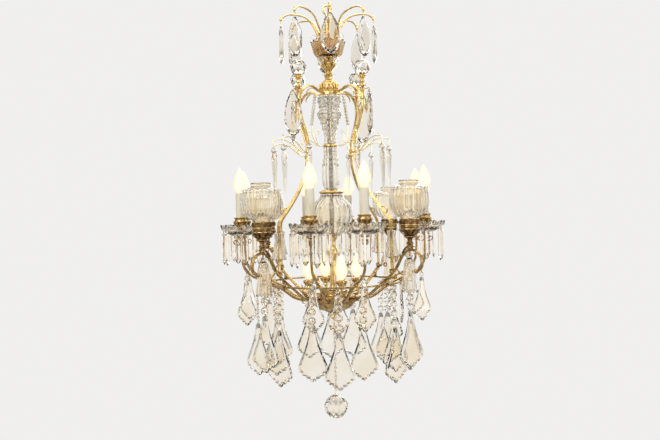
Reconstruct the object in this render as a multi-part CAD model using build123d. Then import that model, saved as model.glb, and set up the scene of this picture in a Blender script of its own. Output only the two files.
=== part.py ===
"""Crystal cage chandelier: gilt frame and glass column, eight candle lamps and four glass globes
round it, and four lamps inside.

Lengths are millimetres and +Z is up.  The origin is the centre of the bore of the hanging eye,
and the bore runs along Y.  Everything below is first built on the candle level, EYE_HEIGHT under
that origin, and moved down as it is written.  An angle of 0 degrees faces -Y and grows towards +X.
"""
import os
from math import atan2, cos, hypot, pi, radians, sin, tan

from build123d import *

# ---------------------------------------------------------------- driving dimensions
EYE_HEIGHT = 588.0          # bore of the hanging eye above the candle level

# fits
BORE_GAP = 0.3              # round bore over the stem rod or a stud
PIN_GAP = 0.05              # hinge eye over its pin
CAP_GAP = 0.2               # lamp cap in its holder
LOOP_GAP = 0.5              # hanging loop beside its eye
FLAT = 1e-6                 # volume under which four corners count as lying in a plane

# hanging eye and central rod
EYE_BORE_R = 9.0
EYE_RING_R = 14.5
EYE_THICK = 8.0
EYE_SHANK_R = 8.0
ROD_R = 5.0
ROD_GRIP = 20.0             # rod screwed into the hanging eye and into the bottom nut

# central stack, from the bottom of the lower hub upwards
HUB_BASE = -258.0
HUB_BOWL_H = 29.0
HUB_ARM_H = 18.0            # tier that carries the outer arms
HUB_INNER_H = 15.0          # tier that carries the inner arms
HUB_ARM_R = 60.0            # across flats, halved
HUB_INNER_R = 36.0
TUBE_H = 151.0
VASE_H = 117.0
VASE_R = 60.0
VASE_WALL = 4.0
PLATE_H = 13.0
PLATE_R = 34.0
COLUMN_LOWER_H = 118.0
COLUMN_LOWER_R = 25.0
COLLAR_H = 9.0
COLLAR_R = 20.0
COLUMN_UPPER_H = 135.0
COLUMN_UPPER_R = 35.0
UPPER_HUB_BAND_H = 15.0     # plain band that carries the ribs
UPPER_HUB_DRUM_H = 23.0     # ribbed drum over it
UPPER_HUB_R = 24.0
NECK_H = 70.0
NECK_BALL_R = 14.0
CUP_H = 45.0
CUP_R = 48.0
CUP_WALL = 3.5
CUP_FLOOR = 6.0
CROWN_PLATE_H = 8.0
CROWN_PLATE_R = 27.0
CROWN_FOOT_R = 20.0

# crown arms and the drops on them
CROWN_ARMS = 8
CROWN_REACH = 130.0
CROWN_EYE_Z = 552.0
CROWN_BAR = 5.0
CROWN_ARCH = 12.0           # crest of an arm above its knob
KNOB_R = 4.5
DROP_LENGTH = 107.0
DROP_WIDTH = 52.0
DROP_THICK = 12.0

# hinge of a hanging crystal: a loop with a pin in a flat eye
PIN_R = 1.1
HANG_EYE_R = 3.6
HANG_EYE_THICK = 2.4
LOOP_WIRE = 1.4
LOOP_DROP = 8.4             # pin centre to the bottom of the loop

# cage
RIBS = 4
RIB_WIDTH = 10.0
RIB_THICK = 9.0
RIB_FOOT_R = 207.0
RIB_FOOT_Z = -130.0
RIB_LINE = [(66, 368), (103, 358), (123, 322), (112, 272), (90, 226), (88, 180), (97, 135), (122, 88),
            (164, 38)]      # (radius, height) along the S between hub and foot
RIB_STEPS = 24
FINIAL_R = 121.0
FINIAL_Z = 352.0
FINIAL_H = 34.0
FINIAL_BALL_R = 22.5
SHOULDER_HOOK_R = 144.0     # hook for the pear drop of a shoulder
SHOULDER_HOOK_Z = 346.0
SHOULDER_DROP_LENGTH = 120.0
SHOULDER_DROP_WIDTH = 46.0
SHOULDER_DROP_TURN = 45.0   # degrees that it has turned on its hook
BELL_TOP = -30.0
BELL_LENGTH = 70.0
BELL_R = 20.0

# wire branches with icicles
WIRE = 3.0
WIRE_Z = 185.0
WIRE_RIB_R = 88.0           # where the ribs stand at that height
WIRE_SPREAD = 45.0          # degrees either side of the rib
WIRE_REACH = 94.0
WIRE_COLLAR_R = 8.0
WIRE_END = 14.0             # end of a wire above its start
WIRE_CREST = 38.0           # highest point of a wire above its start
ICICLE_LENGTH = 105.0
ICICLE_WIDTH = 14.0
ICICLE_BEAD = 16.0

# scroll wires on the collar, and the garland of beads from each to the upper hub
GARLANDS = 4
GARLAND_TOP_R = 40.0
GARLAND_HOOK_UP = 2.0       # hooks of the garlands above the foot of the hub's band
GARLAND_BEADS = 10
GARLAND_FLARE = 1.2         # outward step from bead to bead
BEAD = 8.0
BEAD_GAP = 0.4

# globe arms
GLOBE_R = 265.0             # distance of a globe from the axis
GLOBE_SEAT_Z = -66.0
GLOBE_BAND_W = 14.0
GLOBE_BAND_T = 7.0
GLOBE_ARM_LINE = [(106, -220), (146, -188), (186, -160), (220, -132), (237, -98)]
GLOBE_CURL = [(-3, 0), (26, -8), (38, -30), (32, -54), (18, -58)]    # from the globe and the crest
GLOBE_ARM_STEPS = 20
GALLERY_H = 66.0
GALLERY_R = 24.0
GALLERY_WALL = 2.5
GALLERY_DEPTH = 10.0
SHADE_R = 51.5
SHADE_H = 97.0              # above the gallery rim
SHADE_MOUTH_R = 24.0
SHADE_WALL = 2.5
SHADE_FLUTES = 12

# candle arms
CANDLES = (15.0, 75.0, 105.0, 165.0, -165.0, -105.0, -75.0, -15.0)
CANDLE_R = 258.0
CANDLE_FLANGE_Z = -40.0
CANDLE_FLANGE_R = 11.0
CANDLE_BAR = 7.5
CANDLE_ARM_LINE = [(104, -220), (140, -190), (182, -164), (224, -152), (252, -128), (258, -90)]
CANDLE_ARM_STEPS = 13
STUD_R = 4.0
STUD_H = 24.0
DISH_R = 54.0
DISH_H = 34.0
DISH_FLOOR = 12.0
DISH_WALL = 3.0
CUP_TOP_Z = 12.0
CANDLE_CUP_R = 18.0
SLEEVE_R = 12.0
SLEEVE_WALL = 1.4
SLEEVE_H = 66.0
HOLDER_R = 9.5
HOLDER_H = 62.0
LAMP_CAP_R = 6.9
LAMP_CAP_H = 24.0
BULB_R = 17.5
BULB_H = 70.0
LOBES = 12

# inner lights
INNER_LIGHTS = 4
INNER_ANGLE = 15.0
INNER_R = 71.0
INNER_CUP_Z = -186.0
INNER_CUP_H = 21.0
INNER_CUP_R = 18.0
INNER_BAR = 7.0
INNER_CAP_H = 14.0

# cut crystals
PRISMS = 6
PRISM_LENGTH = 84.0
PRISM_WIDTH = 18.0
PRISM_THICK = 9.0
BUTTON = 10.0
OCTAGON = 24.0
OCTAGON_THICK = 9.0
SMALL_OCTAGON = 14.0
PLAQUE_LENGTH = 120.0
PLAQUE_WIDTH = 57.0
PLAQUE_THICK = 8.0
BIG_LENGTH = 145.0
BIG_WIDTH = 79.0
BIG_THICK = 9.0
FLUTED_LENGTH = 98.0
FLUTED_R = 24.0
FLUTED_AT = 262.0
FLUTED_PIN = 11.0

# hoop that carries the lower crystals
HOOP_R = 190.0
HOOP_DROP = 8.0             # top of the hoop under the middle of the lower arm there
HOOP_WIDTH = 6.0
HOOP_HEIGHT = 5.0
HOOP_SIDES = 24
HOOP_LUG_R = 3.5
HOOK_BAR = 4.0
LONG_DROPS = 8
HOOK_OUT = 22.0             # eyes outside the hoop, clear of the plaques under it
HOOK_IN = 18.0              # hooks inside the hoop
LONG_BEADS = 4
CANDLE_HOOK_R = 246.0
CANDLE_HOOK_Z = -146.0

# ball at the bottom
NUT_H = 14.0
NUT_R = 14.0
BALL_BEADS = 8
BALL_BEAD = 23.2
BALL_R = 33.5

os.makedirs("parts", exist_ok=True)


# ---------------------------------------------------------------- helpers
def facet(a, b, c, d):
    """Flat face through four corners, or two triangles where they don't lie in a plane."""
    a, b, c, d = (Vector(*corner) for corner in (a, b, c, d))
    if abs((b - a).cross(c - a).dot(d - a)) < FLAT:
        return [Face(Wire.make_polygon([a, b, c, d]))]
    return [Face(Wire.make_polygon([a, b, c])), Face(Wire.make_polygon([a, c, d]))]


def skinned(rings):
    """Solid of flat facets through rings of corners, with as many corners in each ring."""
    faces = [Face(Wire.make_polygon(ring)) for ring in (rings[0], rings[-1])]
    for low, high in zip(rings, rings[1:]):
        for i in range(len(low)):
            faces += facet(low[i - 1], low[i], high[i], high[i - 1])
    return Solid(Shell(faces))


def faceted(profile, sides, turn=0.0):
    """Cut solid through regular polygons at (radius, height); radii are taken to the corners."""
    angles = [radians(turn) + 2 * pi * i / sides for i in range(sides)]
    return skinned([[(r * cos(a), r * sin(a), z) for a in angles] for r, z in profile])


def fluted(profile, lobes, depth):
    """Solid with flutes: a star of lobes whose valleys lie depth of the radius deeper."""
    star = [(pi * i / lobes, 1 - depth * (i % 2)) for i in range(2 * lobes)]
    return skinned([[(r * share * cos(a), r * share * sin(a), z) for a, share in star] for r, z in profile])


def post(radius, height, sides=8):
    """Straight pin of polygonal section, centred on its middle; the radius is to the corners."""
    return faceted([(radius, -height / 2), (radius, height / 2)], sides)


def bored(solid, radius, low, high):
    """The solid with a round hole on the axis between two heights."""
    return solid - Pos(0, 0, (low + high) / 2) * Cylinder(radius, high - low)


def route(points):
    """Smooth path in the XZ plane: each corner gets an arc as large as its runs allow."""
    radii = []
    for a, b, c in zip(points, points[1:], points[2:]):
        before = atan2(b[1] - a[1], b[0] - a[0])
        after = atan2(c[1] - b[1], c[0] - b[0])
        turn = abs((after - before + pi) % (2 * pi) - pi)
        shorter = min(hypot(b[0] - a[0], b[1] - a[1]), hypot(c[0] - b[0], c[1] - b[1]))
        radii.append(0.45 * shorter / tan(turn / 2))
    return FilletPolyline(*[(x, 0, z) for x, z in points], radius=radii)


def bar(points, width, thickness, steps):
    """Bar of rectangular section along a smooth route, in even steps; the width lies along Y."""
    path = route(points)
    w, t = width / 2, thickness / 2
    rings = []
    for i in range(steps + 1):
        station = Plane(path @ (i / steps), x_dir=(0, 1, 0), z_dir=path % (i / steps))
        rings.append([station.from_local_coords((x, y, 0)) for x, y in ((w, t), (-w, t), (-w, -t), (w, -t))])
    return skinned(rings)


def mirrored(half):
    """Closed outline from its right half, given as (half width, height) from top to bottom."""
    right = list(half)
    left = [(-w, z) for w, z in reversed(half) if w > 0]
    return right + left


def cut_plate(outline, thickness, bevel):
    """Flat crystal in the YZ plane with bevelled sides, balanced to hang straight."""
    across = 1 - bevel / max(w for w, _ in outline)
    back = [(-thickness / 2, w, z) for w, z in outline]
    front = [(thickness / 2, w * across, z) for w, z in outline]
    plate = skinned([back, front])
    return Pos(-plate.center().X, 0, 0) * plate


def octagon_bead(size, thickness):
    """Eight-sided crystal bead that hangs below its own top, flat side up."""
    corner = size / 2 / cos(pi / 8)
    outline = [(corner * cos(pi / 8 + i * pi / 4), corner * sin(pi / 8 + i * pi / 4) - size / 2)
               for i in range(8)]
    return cut_plate(outline, thickness, size / 5)


def string(count, size=OCTAGON):
    """Octagon beads one under another, below a point."""
    return [Pos(0, 0, -i * size) * octagon_bead(size, OCTAGON_THICK * size / OCTAGON) for i in range(count)]


def pear_drop(width, length):
    """Long flat pear-shaped drop, from its top at zero."""
    w, n = width / 2, length
    half = [(0.1 * w, 0), (0.62 * w, -0.16 * n), (0.92 * w, -0.4 * n), (w, -0.66 * n),
            (0.78 * w, -0.86 * n), (0.4 * w, -0.96 * n), (0.1 * w, -n)]
    return cut_plate(mirrored(half), DROP_THICK, 0.3 * w)


def plaque():
    """Shield-shaped plaque with hollow shoulders above its point."""
    w, n = PLAQUE_WIDTH / 2, PLAQUE_LENGTH
    half = [(0.2 * w, 0), (0.42 * w, -0.35 * n), (0.88 * w, -0.62 * n), (w, -0.73 * n),
            (0.84 * w, -0.82 * n), (0.36 * w, -0.89 * n), (0, -n)]
    return cut_plate(mirrored(half), PLAQUE_THICK, 0.22 * w)


def big_plaque():
    """Large kite-shaped plaque of the lower ring."""
    w, n = BIG_WIDTH / 2, BIG_LENGTH
    half = [(0.15 * w, 0), (0.3 * w, -0.22 * n), (0.82 * w, -0.64 * n), (w, -0.77 * n),
            (0.8 * w, -0.86 * n), (0, -n)]
    return cut_plate(mirrored(half), BIG_THICK, 0.2 * w)


def prism():
    """Long straight prism with a pointed end."""
    w, n = PRISM_WIDTH / 2, PRISM_LENGTH
    half = [(0.8 * w, 0), (w, -0.88 * n), (0, -n)]
    return cut_plate(mirrored(half), PRISM_THICK, 0.4 * w)


def hang_eye(bar_up):
    """Flat eye around a hinge pin at the origin, on a stalk that reaches bar_up above it."""
    eye = Rot(90, 0, 0) * post(HANG_EYE_R, HANG_EYE_THICK)
    stalk = Pos(0, 0, bar_up / 2) * Box(HANG_EYE_THICK, HANG_EYE_THICK, bar_up)
    hole = Rot(90, 0, 0) * Cylinder(PIN_R + PIN_GAP, 2 * HANG_EYE_THICK)
    return eye + stalk - hole


def hang_loop():
    """Wire loop whose top bar is the hinge pin, at the origin."""
    inner = HANG_EYE_THICK / 2 + LOOP_GAP
    half = inner + LOOP_WIRE
    pin = Rot(90, 0, 0) * Cylinder(PIN_R, 2 * half)
    loop = pin + Pos(0, 0, LOOP_WIRE / 2 - LOOP_DROP) * Box(2 * PIN_R, 2 * half, LOOP_WIRE)
    for side in (-1, 1):
        leg = Box(2 * PIN_R, LOOP_WIRE, LOOP_DROP)
        loop += Pos(0, side * (inner + LOOP_WIRE / 2), -LOOP_DROP / 2) * leg
    return loop


def at(angle, shape, radius=0.0, height=0.0):
    """The shape moved out to a radius and a height, at an angle that is 0 towards -Y."""
    return Rot(0, 0, angle - 90) * Pos(radius, 0, height) * shape


def around(count, first, shape, radius=0.0, height=0.0):
    """Copies of a shape, evenly spaced round the axis."""
    return [at(first + 360 * i / count, shape, radius, height) for i in range(count)]


def solids_of(shapes):
    """All the solids in a shape or in a nested list of shapes."""
    if isinstance(shapes, (list, tuple)):
        return [solid for shape in shapes for solid in solids_of(shape)]
    return list(shapes.solids())


def group(pieces):
    """Several pieces as one shape that can be moved."""
    return Compound(children=solids_of(pieces))


def write(name, shapes):
    """Write one node, moved from the candle level to the hanging eye."""
    moved = [Pos(0, 0, -EYE_HEIGHT) * solid for solid in solids_of(shapes)]
    node = moved[0] if len(moved) == 1 else Compound(children=moved)
    export_step(node, f"parts/{name}.step")


def arm_level(line, radius):
    """Level of an arm's middle at a radius, from the points of its line."""
    legs = list(zip(line, line[1:]))
    (near, low), (far, high) = next((leg for leg in reversed(legs) if leg[0][0] <= radius), legs[0])
    return low + (high - low) * (radius - near) / (far - near)


# ---------------------------------------------------------------- heights of the central stack
HUB_ARM_Z = HUB_BASE + HUB_BOWL_H
HUB_INNER_Z = HUB_ARM_Z + HUB_ARM_H
TUBE_Z = HUB_INNER_Z + HUB_INNER_H
VASE_Z = TUBE_Z + TUBE_H
PLATE_Z = VASE_Z + VASE_H
COLUMN_LOWER_Z = PLATE_Z + PLATE_H
COLLAR_Z = COLUMN_LOWER_Z + COLUMN_LOWER_H
COLUMN_UPPER_Z = COLLAR_Z + COLLAR_H
UPPER_HUB_Z = COLUMN_UPPER_Z + COLUMN_UPPER_H
DRUM_Z = UPPER_HUB_Z + UPPER_HUB_BAND_H
NECK_Z = DRUM_Z + UPPER_HUB_DRUM_H
CUP_Z = NECK_Z + NECK_H
CROWN_PLATE_Z = CUP_Z + CUP_FLOOR
SHANK_Z = CROWN_PLATE_Z + CROWN_PLATE_H
ROD_BOTTOM = HUB_BASE - ROD_GRIP / 2
ROD_TOP = SHANK_Z + ROD_GRIP
ROD_BORE = ROD_R + BORE_GAP

# heights and places that follow from them
KNOB_Z = CROWN_EYE_Z + HANG_EYE_R + 1 + KNOB_R
HUB_MID = HUB_ARM_Z + HUB_ARM_H / 2
GLOBE_CREST_Z = GLOBE_SEAT_Z - 8 - GLOBE_BAND_T / 2
FLUTED_TOP = GLOBE_CREST_Z - GLOBE_BAND_T / 2 - FLUTED_PIN
GLOBE_ARM_AT_HOOP = arm_level(GLOBE_ARM_LINE, HOOP_R)
CANDLE_ARM_AT_HOOP = arm_level(CANDLE_ARM_LINE, HOOP_R)
HOOP_TOP = round(min(GLOBE_ARM_AT_HOOP, CANDLE_ARM_AT_HOOP)) - HOOP_DROP
OUTER_HOOK_R = HOOP_R + HOOK_OUT
INNER_HOOK_R = HOOP_R - HOOK_IN
LONG_EYE_Z = HOOP_TOP - HOOP_HEIGHT - HANG_EYE_R + 0.2
BALL_EYE_Z = HUB_BASE - NUT_H - 5 - HANG_EYE_R
BALL_LOWER_EYE_Z = BALL_EYE_Z - LOOP_DROP - BALL_BEADS * BALL_BEAD - HANG_EYE_R - 1
GARLAND_TOP_Z = UPPER_HUB_Z + GARLAND_HOOK_UP
GARLAND_END_R = GARLAND_TOP_R + GARLAND_FLARE * (GARLAND_BEADS - 1)
GARLAND_END_Z = GARLAND_TOP_Z - GARLAND_BEADS * (BEAD + BEAD_GAP) - BEAD_GAP


def stacked(shares, height, base):
    """Profile from (radius, share of the height) points, set on a base height."""
    return [(r, base + share * height) for r, share in shares]


# ---------------------------------------------------------------- central stack
def hanging_eye():
    ring_z = EYE_HEIGHT
    ring = Pos(0, 0, ring_z) * Rot(90, 0, 0) * Cylinder(EYE_RING_R, EYE_THICK)
    top = ring_z - EYE_BORE_R - 2
    shank = faceted([(EYE_SHANK_R + 3, SHANK_Z), (EYE_SHANK_R + 3, SHANK_Z + 4), (EYE_SHANK_R, SHANK_Z + 8),
                    (EYE_SHANK_R - 1.5, top - 22), (EYE_SHANK_R + 2, top - 16), (EYE_SHANK_R - 2, top)], 12)
    bore = Pos(0, 0, ring_z) * Rot(90, 0, 0) * Cylinder(EYE_BORE_R, 3 * EYE_SHANK_R)
    eye = bored(ring + shank, ROD_BORE, SHANK_Z, ROD_TOP)
    return eye - bore


def stem_rod():
    return Pos(0, 0, (ROD_BOTTOM + ROD_TOP) / 2) * Cylinder(ROD_R, ROD_TOP - ROD_BOTTOM)


def crown_plate():
    plate = Pos(0, 0, CROWN_PLATE_Z + CROWN_PLATE_H / 2) * post(CROWN_PLATE_R, CROWN_PLATE_H, 16)
    return bored(plate, ROD_BORE, CROWN_PLATE_Z, SHANK_Z)


def crown_cup():
    top = CUP_Z + CUP_H
    floor = CUP_Z + CUP_FLOOR
    outer = fluted([(0.66 * CUP_R, CUP_Z), (0.86 * CUP_R, CUP_Z + 0.3 * CUP_H), (CUP_R, top)], LOBES, 0.07)
    room = 0.93 * CUP_R - CUP_WALL
    foot = CROWN_PLATE_R + 1
    inner = faceted([(foot / cos(pi / LOBES), floor), (0.84 * room, floor + 0.3 * CUP_H), (room, top)], LOBES)
    return bored(outer - inner, ROD_BORE, CUP_Z, floor)


def neck_ball():
    r = NECK_BALL_R
    profile = stacked([(15, 0), (10, 0.1), (7, 0.22), (10, 0.34), (8, 0.42), (0.75 * r, 0.5), (r, 0.62),
                       (r, 0.72), (0.75 * r, 0.84), (9, 0.9), (15, 1)], NECK_H, NECK_Z)
    return bored(faceted(profile, 8), ROD_BORE, NECK_Z, CUP_Z)


def upper_hub():
    corner = UPPER_HUB_R / cos(pi / 8)
    band = faceted([(corner, UPPER_HUB_Z), (corner, DRUM_Z)], 8, 22.5)
    r = UPPER_HUB_R
    drum = fluted([(0.8 * r, DRUM_Z), (1.04 * r, DRUM_Z + 5), (r, NECK_Z - 5), (0.7 * r, NECK_Z)], 12, 0.14)
    hub = bored(band + drum, ROD_BORE, UPPER_HUB_Z, NECK_Z)
    reach = GARLAND_TOP_R + WIRE / 2 - r
    for hook in around(GARLANDS, 0, Box(reach + 2, WIRE, WIRE), r + reach / 2 - 1, GARLAND_TOP_Z + WIRE / 2):
        hub += hook
    return hub


def column_upper():
    r = COLUMN_UPPER_R
    profile = stacked([(0.46 * r, 0), (0.46 * r, 0.1), (0.6 * r, 0.3), (0.86 * r, 0.54), (r, 0.6), (r, 0.65),
                       (0.82 * r, 0.7), (0.95 * r, 0.86), (r, 0.95), (0.8 * r, 1)],
                      COLUMN_UPPER_H, COLUMN_UPPER_Z)
    return bored(faceted(profile, 10), ROD_BORE, COLUMN_UPPER_Z, UPPER_HUB_Z)


def column_collar():
    r = COLLAR_R / cos(pi / 12)
    profile = stacked([(0.8 * r, 0), (r, 0.25), (r, 0.75), (0.8 * r, 1)], COLLAR_H, COLLAR_Z)
    return bored(faceted(profile, 12, 15), ROD_BORE, COLLAR_Z, COLUMN_UPPER_Z)


def column_lower():
    r = COLUMN_LOWER_R
    profile = stacked([(0.7 * r, 0), (0.98 * r, 0.2), (r, 0.5), (0.72 * r, 0.88), (0.8 * r, 1)],
                      COLUMN_LOWER_H, COLUMN_LOWER_Z)
    return bored(fluted(profile, 8, 0.12), ROD_BORE, COLUMN_LOWER_Z, COLLAR_Z)


def centre_plate():
    r = PLATE_R
    profile = stacked([(0.85 * r, 0), (r, 0.3), (r, 0.55), (0.6 * r, 1)], PLATE_H, PLATE_Z)
    return bored(faceted(profile, 12), ROD_BORE, PLATE_Z, COLUMN_LOWER_Z)


def centre_vase():
    def wall(inset):
        r = VASE_R - inset
        base, height = VASE_Z + inset, VASE_H - 2 * inset
        return faceted(stacked([(0.36 * r, 0), (0.76 * r, 0.16), (r, 0.45), (0.96 * r, 0.68),
                                (0.58 * r, 0.9), (0.52 * r, 1)], height, base), 12)
    return bored(wall(0) - wall(VASE_WALL), ROD_BORE, VASE_Z, PLATE_Z)


def stem_tube():
    profile = stacked([(13, 0), (9, 0.05), (9, 0.6), (15, 0.7), (15, 0.74), (9, 0.84), (9, 0.93), (15, 1)],
                      TUBE_H, TUBE_Z)
    return bored(faceted(profile, 10), ROD_BORE, TUBE_Z, VASE_Z)


def lower_hub():
    """Cast hub with a flat for each arm on two twelve-sided tiers."""
    arm, inner = HUB_ARM_R / cos(pi / 12), HUB_INNER_R / cos(pi / 12)
    bowl = faceted([(NUT_R + 4, HUB_BASE), (0.78 * arm, HUB_BASE + 0.4 * HUB_BOWL_H), (arm, HUB_ARM_Z)], 12)
    tier = faceted([(arm, HUB_ARM_Z), (arm, HUB_INNER_Z)], 12)
    upper = faceted([(inner, HUB_INNER_Z), (inner, TUBE_Z)], 12)
    return bored(bowl + tier + upper, ROD_BORE, HUB_BASE, TUBE_Z)


def bottom_nut():
    nut = faceted([(NUT_R, HUB_BASE - NUT_H), (NUT_R, HUB_BASE)], 6)
    nut += faceted([(4, HUB_BASE - NUT_H - 5), (9, HUB_BASE - NUT_H)], 6)
    nut = bored(nut, ROD_BORE, ROD_BOTTOM, HUB_BASE)
    return nut + Pos(0, 0, BALL_EYE_Z) * hang_eye(HANG_EYE_R + 3)


# ---------------------------------------------------------------- crown
def crown_arm():
    """Arm that springs from the plate, arches over and ends in a knob with a hanging eye."""
    rise = KNOB_Z - SHANK_Z
    points = [(CROWN_FOOT_R, SHANK_Z), (CROWN_FOOT_R, SHANK_Z + 0.2 * rise),
              (CROWN_FOOT_R + 10, SHANK_Z + 0.54 * rise), (0.42 * CROWN_REACH, KNOB_Z),
              (0.74 * CROWN_REACH, KNOB_Z + CROWN_ARCH), (CROWN_REACH, KNOB_Z)]
    arm = bar(points, CROWN_BAR, CROWN_BAR, 10)
    knob = faceted([(2, KNOB_Z - KNOB_R), (KNOB_R, KNOB_Z), (2, KNOB_Z + KNOB_R)], 6)
    eye = Pos(0, 0, CROWN_EYE_Z) * hang_eye(HANG_EYE_R + 2)
    foot = Pos(CROWN_FOOT_R, 0, SHANK_Z + 2) * post(CROWN_BAR, 4, 6)
    return arm + foot + Pos(CROWN_REACH, 0, 0) * (knob + eye)


def crown_drop():
    """One drop of the crown below its hinge pin at the origin."""
    return [hang_loop(), Pos(0, 0, -LOOP_DROP) * pear_drop(DROP_WIDTH, DROP_LENGTH)]


# ---------------------------------------------------------------- cage
def rib_points():
    start = UPPER_HUB_R
    z = UPPER_HUB_Z + UPPER_HUB_BAND_H / 2
    return [(start, z), (start + 18, z), *RIB_LINE, (RIB_FOOT_R - 5, BELL_TOP + 32),
            (RIB_FOOT_R, BELL_TOP + 16), (RIB_FOOT_R, RIB_FOOT_Z)]


def cage_rib():
    """S-shaped rib from the upper hub to its globe arm, with its seats for finial, wires and bell."""
    rib = bar(rib_points(), RIB_WIDTH, RIB_THICK, RIB_STEPS)
    seat = Pos(FINIAL_R, 0, FINIAL_Z - 14) * post(7, 28)
    corner = WIRE_COLLAR_R / cos(pi / 8)
    wires = faceted([(corner, WIRE_Z - 4), (corner, WIRE_Z + 4)], 8, 22.5)
    ledge = Pos(RIB_FOOT_R, 0, BELL_TOP - BELL_LENGTH - 2) * post(9, 4)
    reach = SHOULDER_HOOK_R - FINIAL_R
    hook = Pos(FINIAL_R + reach / 2, 0, SHOULDER_HOOK_Z + 2) * Box(reach + WIRE, WIRE, 4)
    return rib + seat + Pos(WIRE_RIB_R, 0, 0) * wires + ledge + hook


def finial():
    profile = stacked([(7, 0), (4, 0.12), (10, 0.2), (10, 0.28), (4, 0.4), (6, 0.62), (4, 0.76), (9, 0.92),
                       (11, 1)], FINIAL_H, 0)
    return faceted(profile, 6)


def finial_ball():
    r = FINIAL_BALL_R
    return faceted([(0.45 * r, 0), (0.86 * r, 0.45 * r), (r, r), (0.86 * r, 1.55 * r), (0.4 * r, 2 * r)], 8)


def fluted_bell():
    """Glass bell that the foot of a rib passes through."""
    r = BELL_R
    profile = stacked([(0.55 * r, 1), (0.56 * r, 0.7), (0.7 * r, 0.35), (r, 0)], BELL_LENGTH, 0)
    outer = fluted(profile, 6, 0.12)
    hole = Box(RIB_THICK + 2 * BORE_GAP, RIB_WIDTH + 2 * BORE_GAP, 3 * BELL_LENGTH)
    return outer - hole


# ---------------------------------------------------------------- wire branches
def branch_wire():
    """Wire from the collar on a rib, out and over to a hanging crystal."""
    points = [(WIRE_COLLAR_R, WIRE_Z), (20, WIRE_Z), (40, WIRE_Z + 20), (68, WIRE_Z + WIRE_CREST),
              (WIRE_REACH, WIRE_Z + WIRE_CREST - 4), (WIRE_REACH, WIRE_Z + WIRE_END)]
    return bar(points, WIRE, WIRE, 8)


def scroll_wire():
    """Wire from the collar of the column up to the end of a garland."""
    z = COLLAR_Z + COLLAR_H / 2
    points = [(COLLAR_R, z), (COLLAR_R + 12, z), (GARLAND_END_R - 6, z + 16), (GARLAND_END_R, z + 36),
              (GARLAND_END_R, GARLAND_END_Z)]
    return bar(points, WIRE, WIRE, 7)


def garland():
    """String of small beads that leans outwards below its hook on the upper hub."""
    beads = []
    for i in range(GARLAND_BEADS):
        z = GARLAND_TOP_Z - BEAD_GAP - i * (BEAD + BEAD_GAP)
        bead = faceted([(0.22 * BEAD, z - BEAD), (0.6 * BEAD, z - BEAD / 2), (0.22 * BEAD, z)], 4)
        beads.append(Pos(GARLAND_TOP_R + GARLAND_FLARE * i, 0, 0) * bead)
    return beads


def icicle():
    """Square tapering drop below its bead."""
    bead = faceted([(0.2 * ICICLE_BEAD, -ICICLE_BEAD), (0.55 * ICICLE_BEAD, -ICICLE_BEAD / 2),
                    (0.2 * ICICLE_BEAD, 0)], 6)
    w = ICICLE_WIDTH / 2
    spear = faceted([(0.12 * w, -ICICLE_LENGTH), (w, -0.14 * ICICLE_LENGTH), (0.4 * w, 0)], 4)
    return [bead, Pos(0, 0, -ICICLE_BEAD) * spear]


def on_wires(shape, height=0.0, reach=0.0):
    """A shape at the end of every branch wire."""
    pieces = []
    for i in range(RIBS):
        for spread in (-WIRE_SPREAD, 0, WIRE_SPREAD):
            turned_out = Rot(0, 0, spread) * Pos(reach, 0, height) * shape
            pieces.append(at(45 + 360 * i / RIBS, turned_out, WIRE_RIB_R))
    return pieces


# ---------------------------------------------------------------- arms
def lug(radius, top, bottom, lug_r=HOOP_LUG_R):
    """Round boss that stands under an arm."""
    return Pos(radius, 0, (top + bottom) / 2) * post(lug_r, top - bottom)


def globe_arm():
    """Scroll arm: out of the hub, up past the rib's foot, over the crest and down in a curl."""
    curl = [(GLOBE_R + out, GLOBE_CREST_Z + up) for out, up in GLOBE_CURL]
    arm = bar([(HUB_ARM_R, HUB_MID), *GLOBE_ARM_LINE, *curl], GLOBE_BAND_W, GLOBE_BAND_T, GLOBE_ARM_STEPS)
    arm += lug(GLOBE_R, GLOBE_SEAT_Z, GLOBE_SEAT_Z - 12, 8)
    arm += lug(RIB_FOOT_R, RIB_FOOT_Z, RIB_FOOT_Z - 12, 8)
    arm += lug(HOOP_R, GLOBE_ARM_AT_HOOP, HOOP_TOP)
    hook_h = FLUTED_PIN + GLOBE_BAND_T / 2
    arm += Pos(FLUTED_AT, 0, FLUTED_TOP + hook_h / 2) * Box(WIRE, WIRE, hook_h)
    return arm


def candle_arm():
    """Slender arm that rises to a flange and a stud for one candle."""
    points = [(HUB_ARM_R, HUB_MID), *CANDLE_ARM_LINE, (CANDLE_R, CANDLE_FLANGE_Z - 2)]
    arm = bar(points, CANDLE_BAR, CANDLE_BAR, CANDLE_ARM_STEPS)
    arm += lug(CANDLE_R, CANDLE_FLANGE_Z, CANDLE_FLANGE_Z - 4, CANDLE_FLANGE_R)
    arm += lug(CANDLE_R, CANDLE_FLANGE_Z + STUD_H, CANDLE_FLANGE_Z - 2, STUD_R)
    arm += lug(HOOP_R, CANDLE_ARM_AT_HOOP, HOOP_TOP)
    arm += Pos(CANDLE_HOOK_R, 0, CANDLE_HOOK_Z + 7) * Box(WIRE, WIRE, 14)
    return arm


def inner_arm():
    z = HUB_INNER_Z + HUB_INNER_H / 2
    points = [(HUB_INNER_R, z), (INNER_R - 14, z), (INNER_R, z + 8), (INNER_R, INNER_CUP_Z)]
    return bar(points, INNER_BAR, INNER_BAR, 5)


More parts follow.
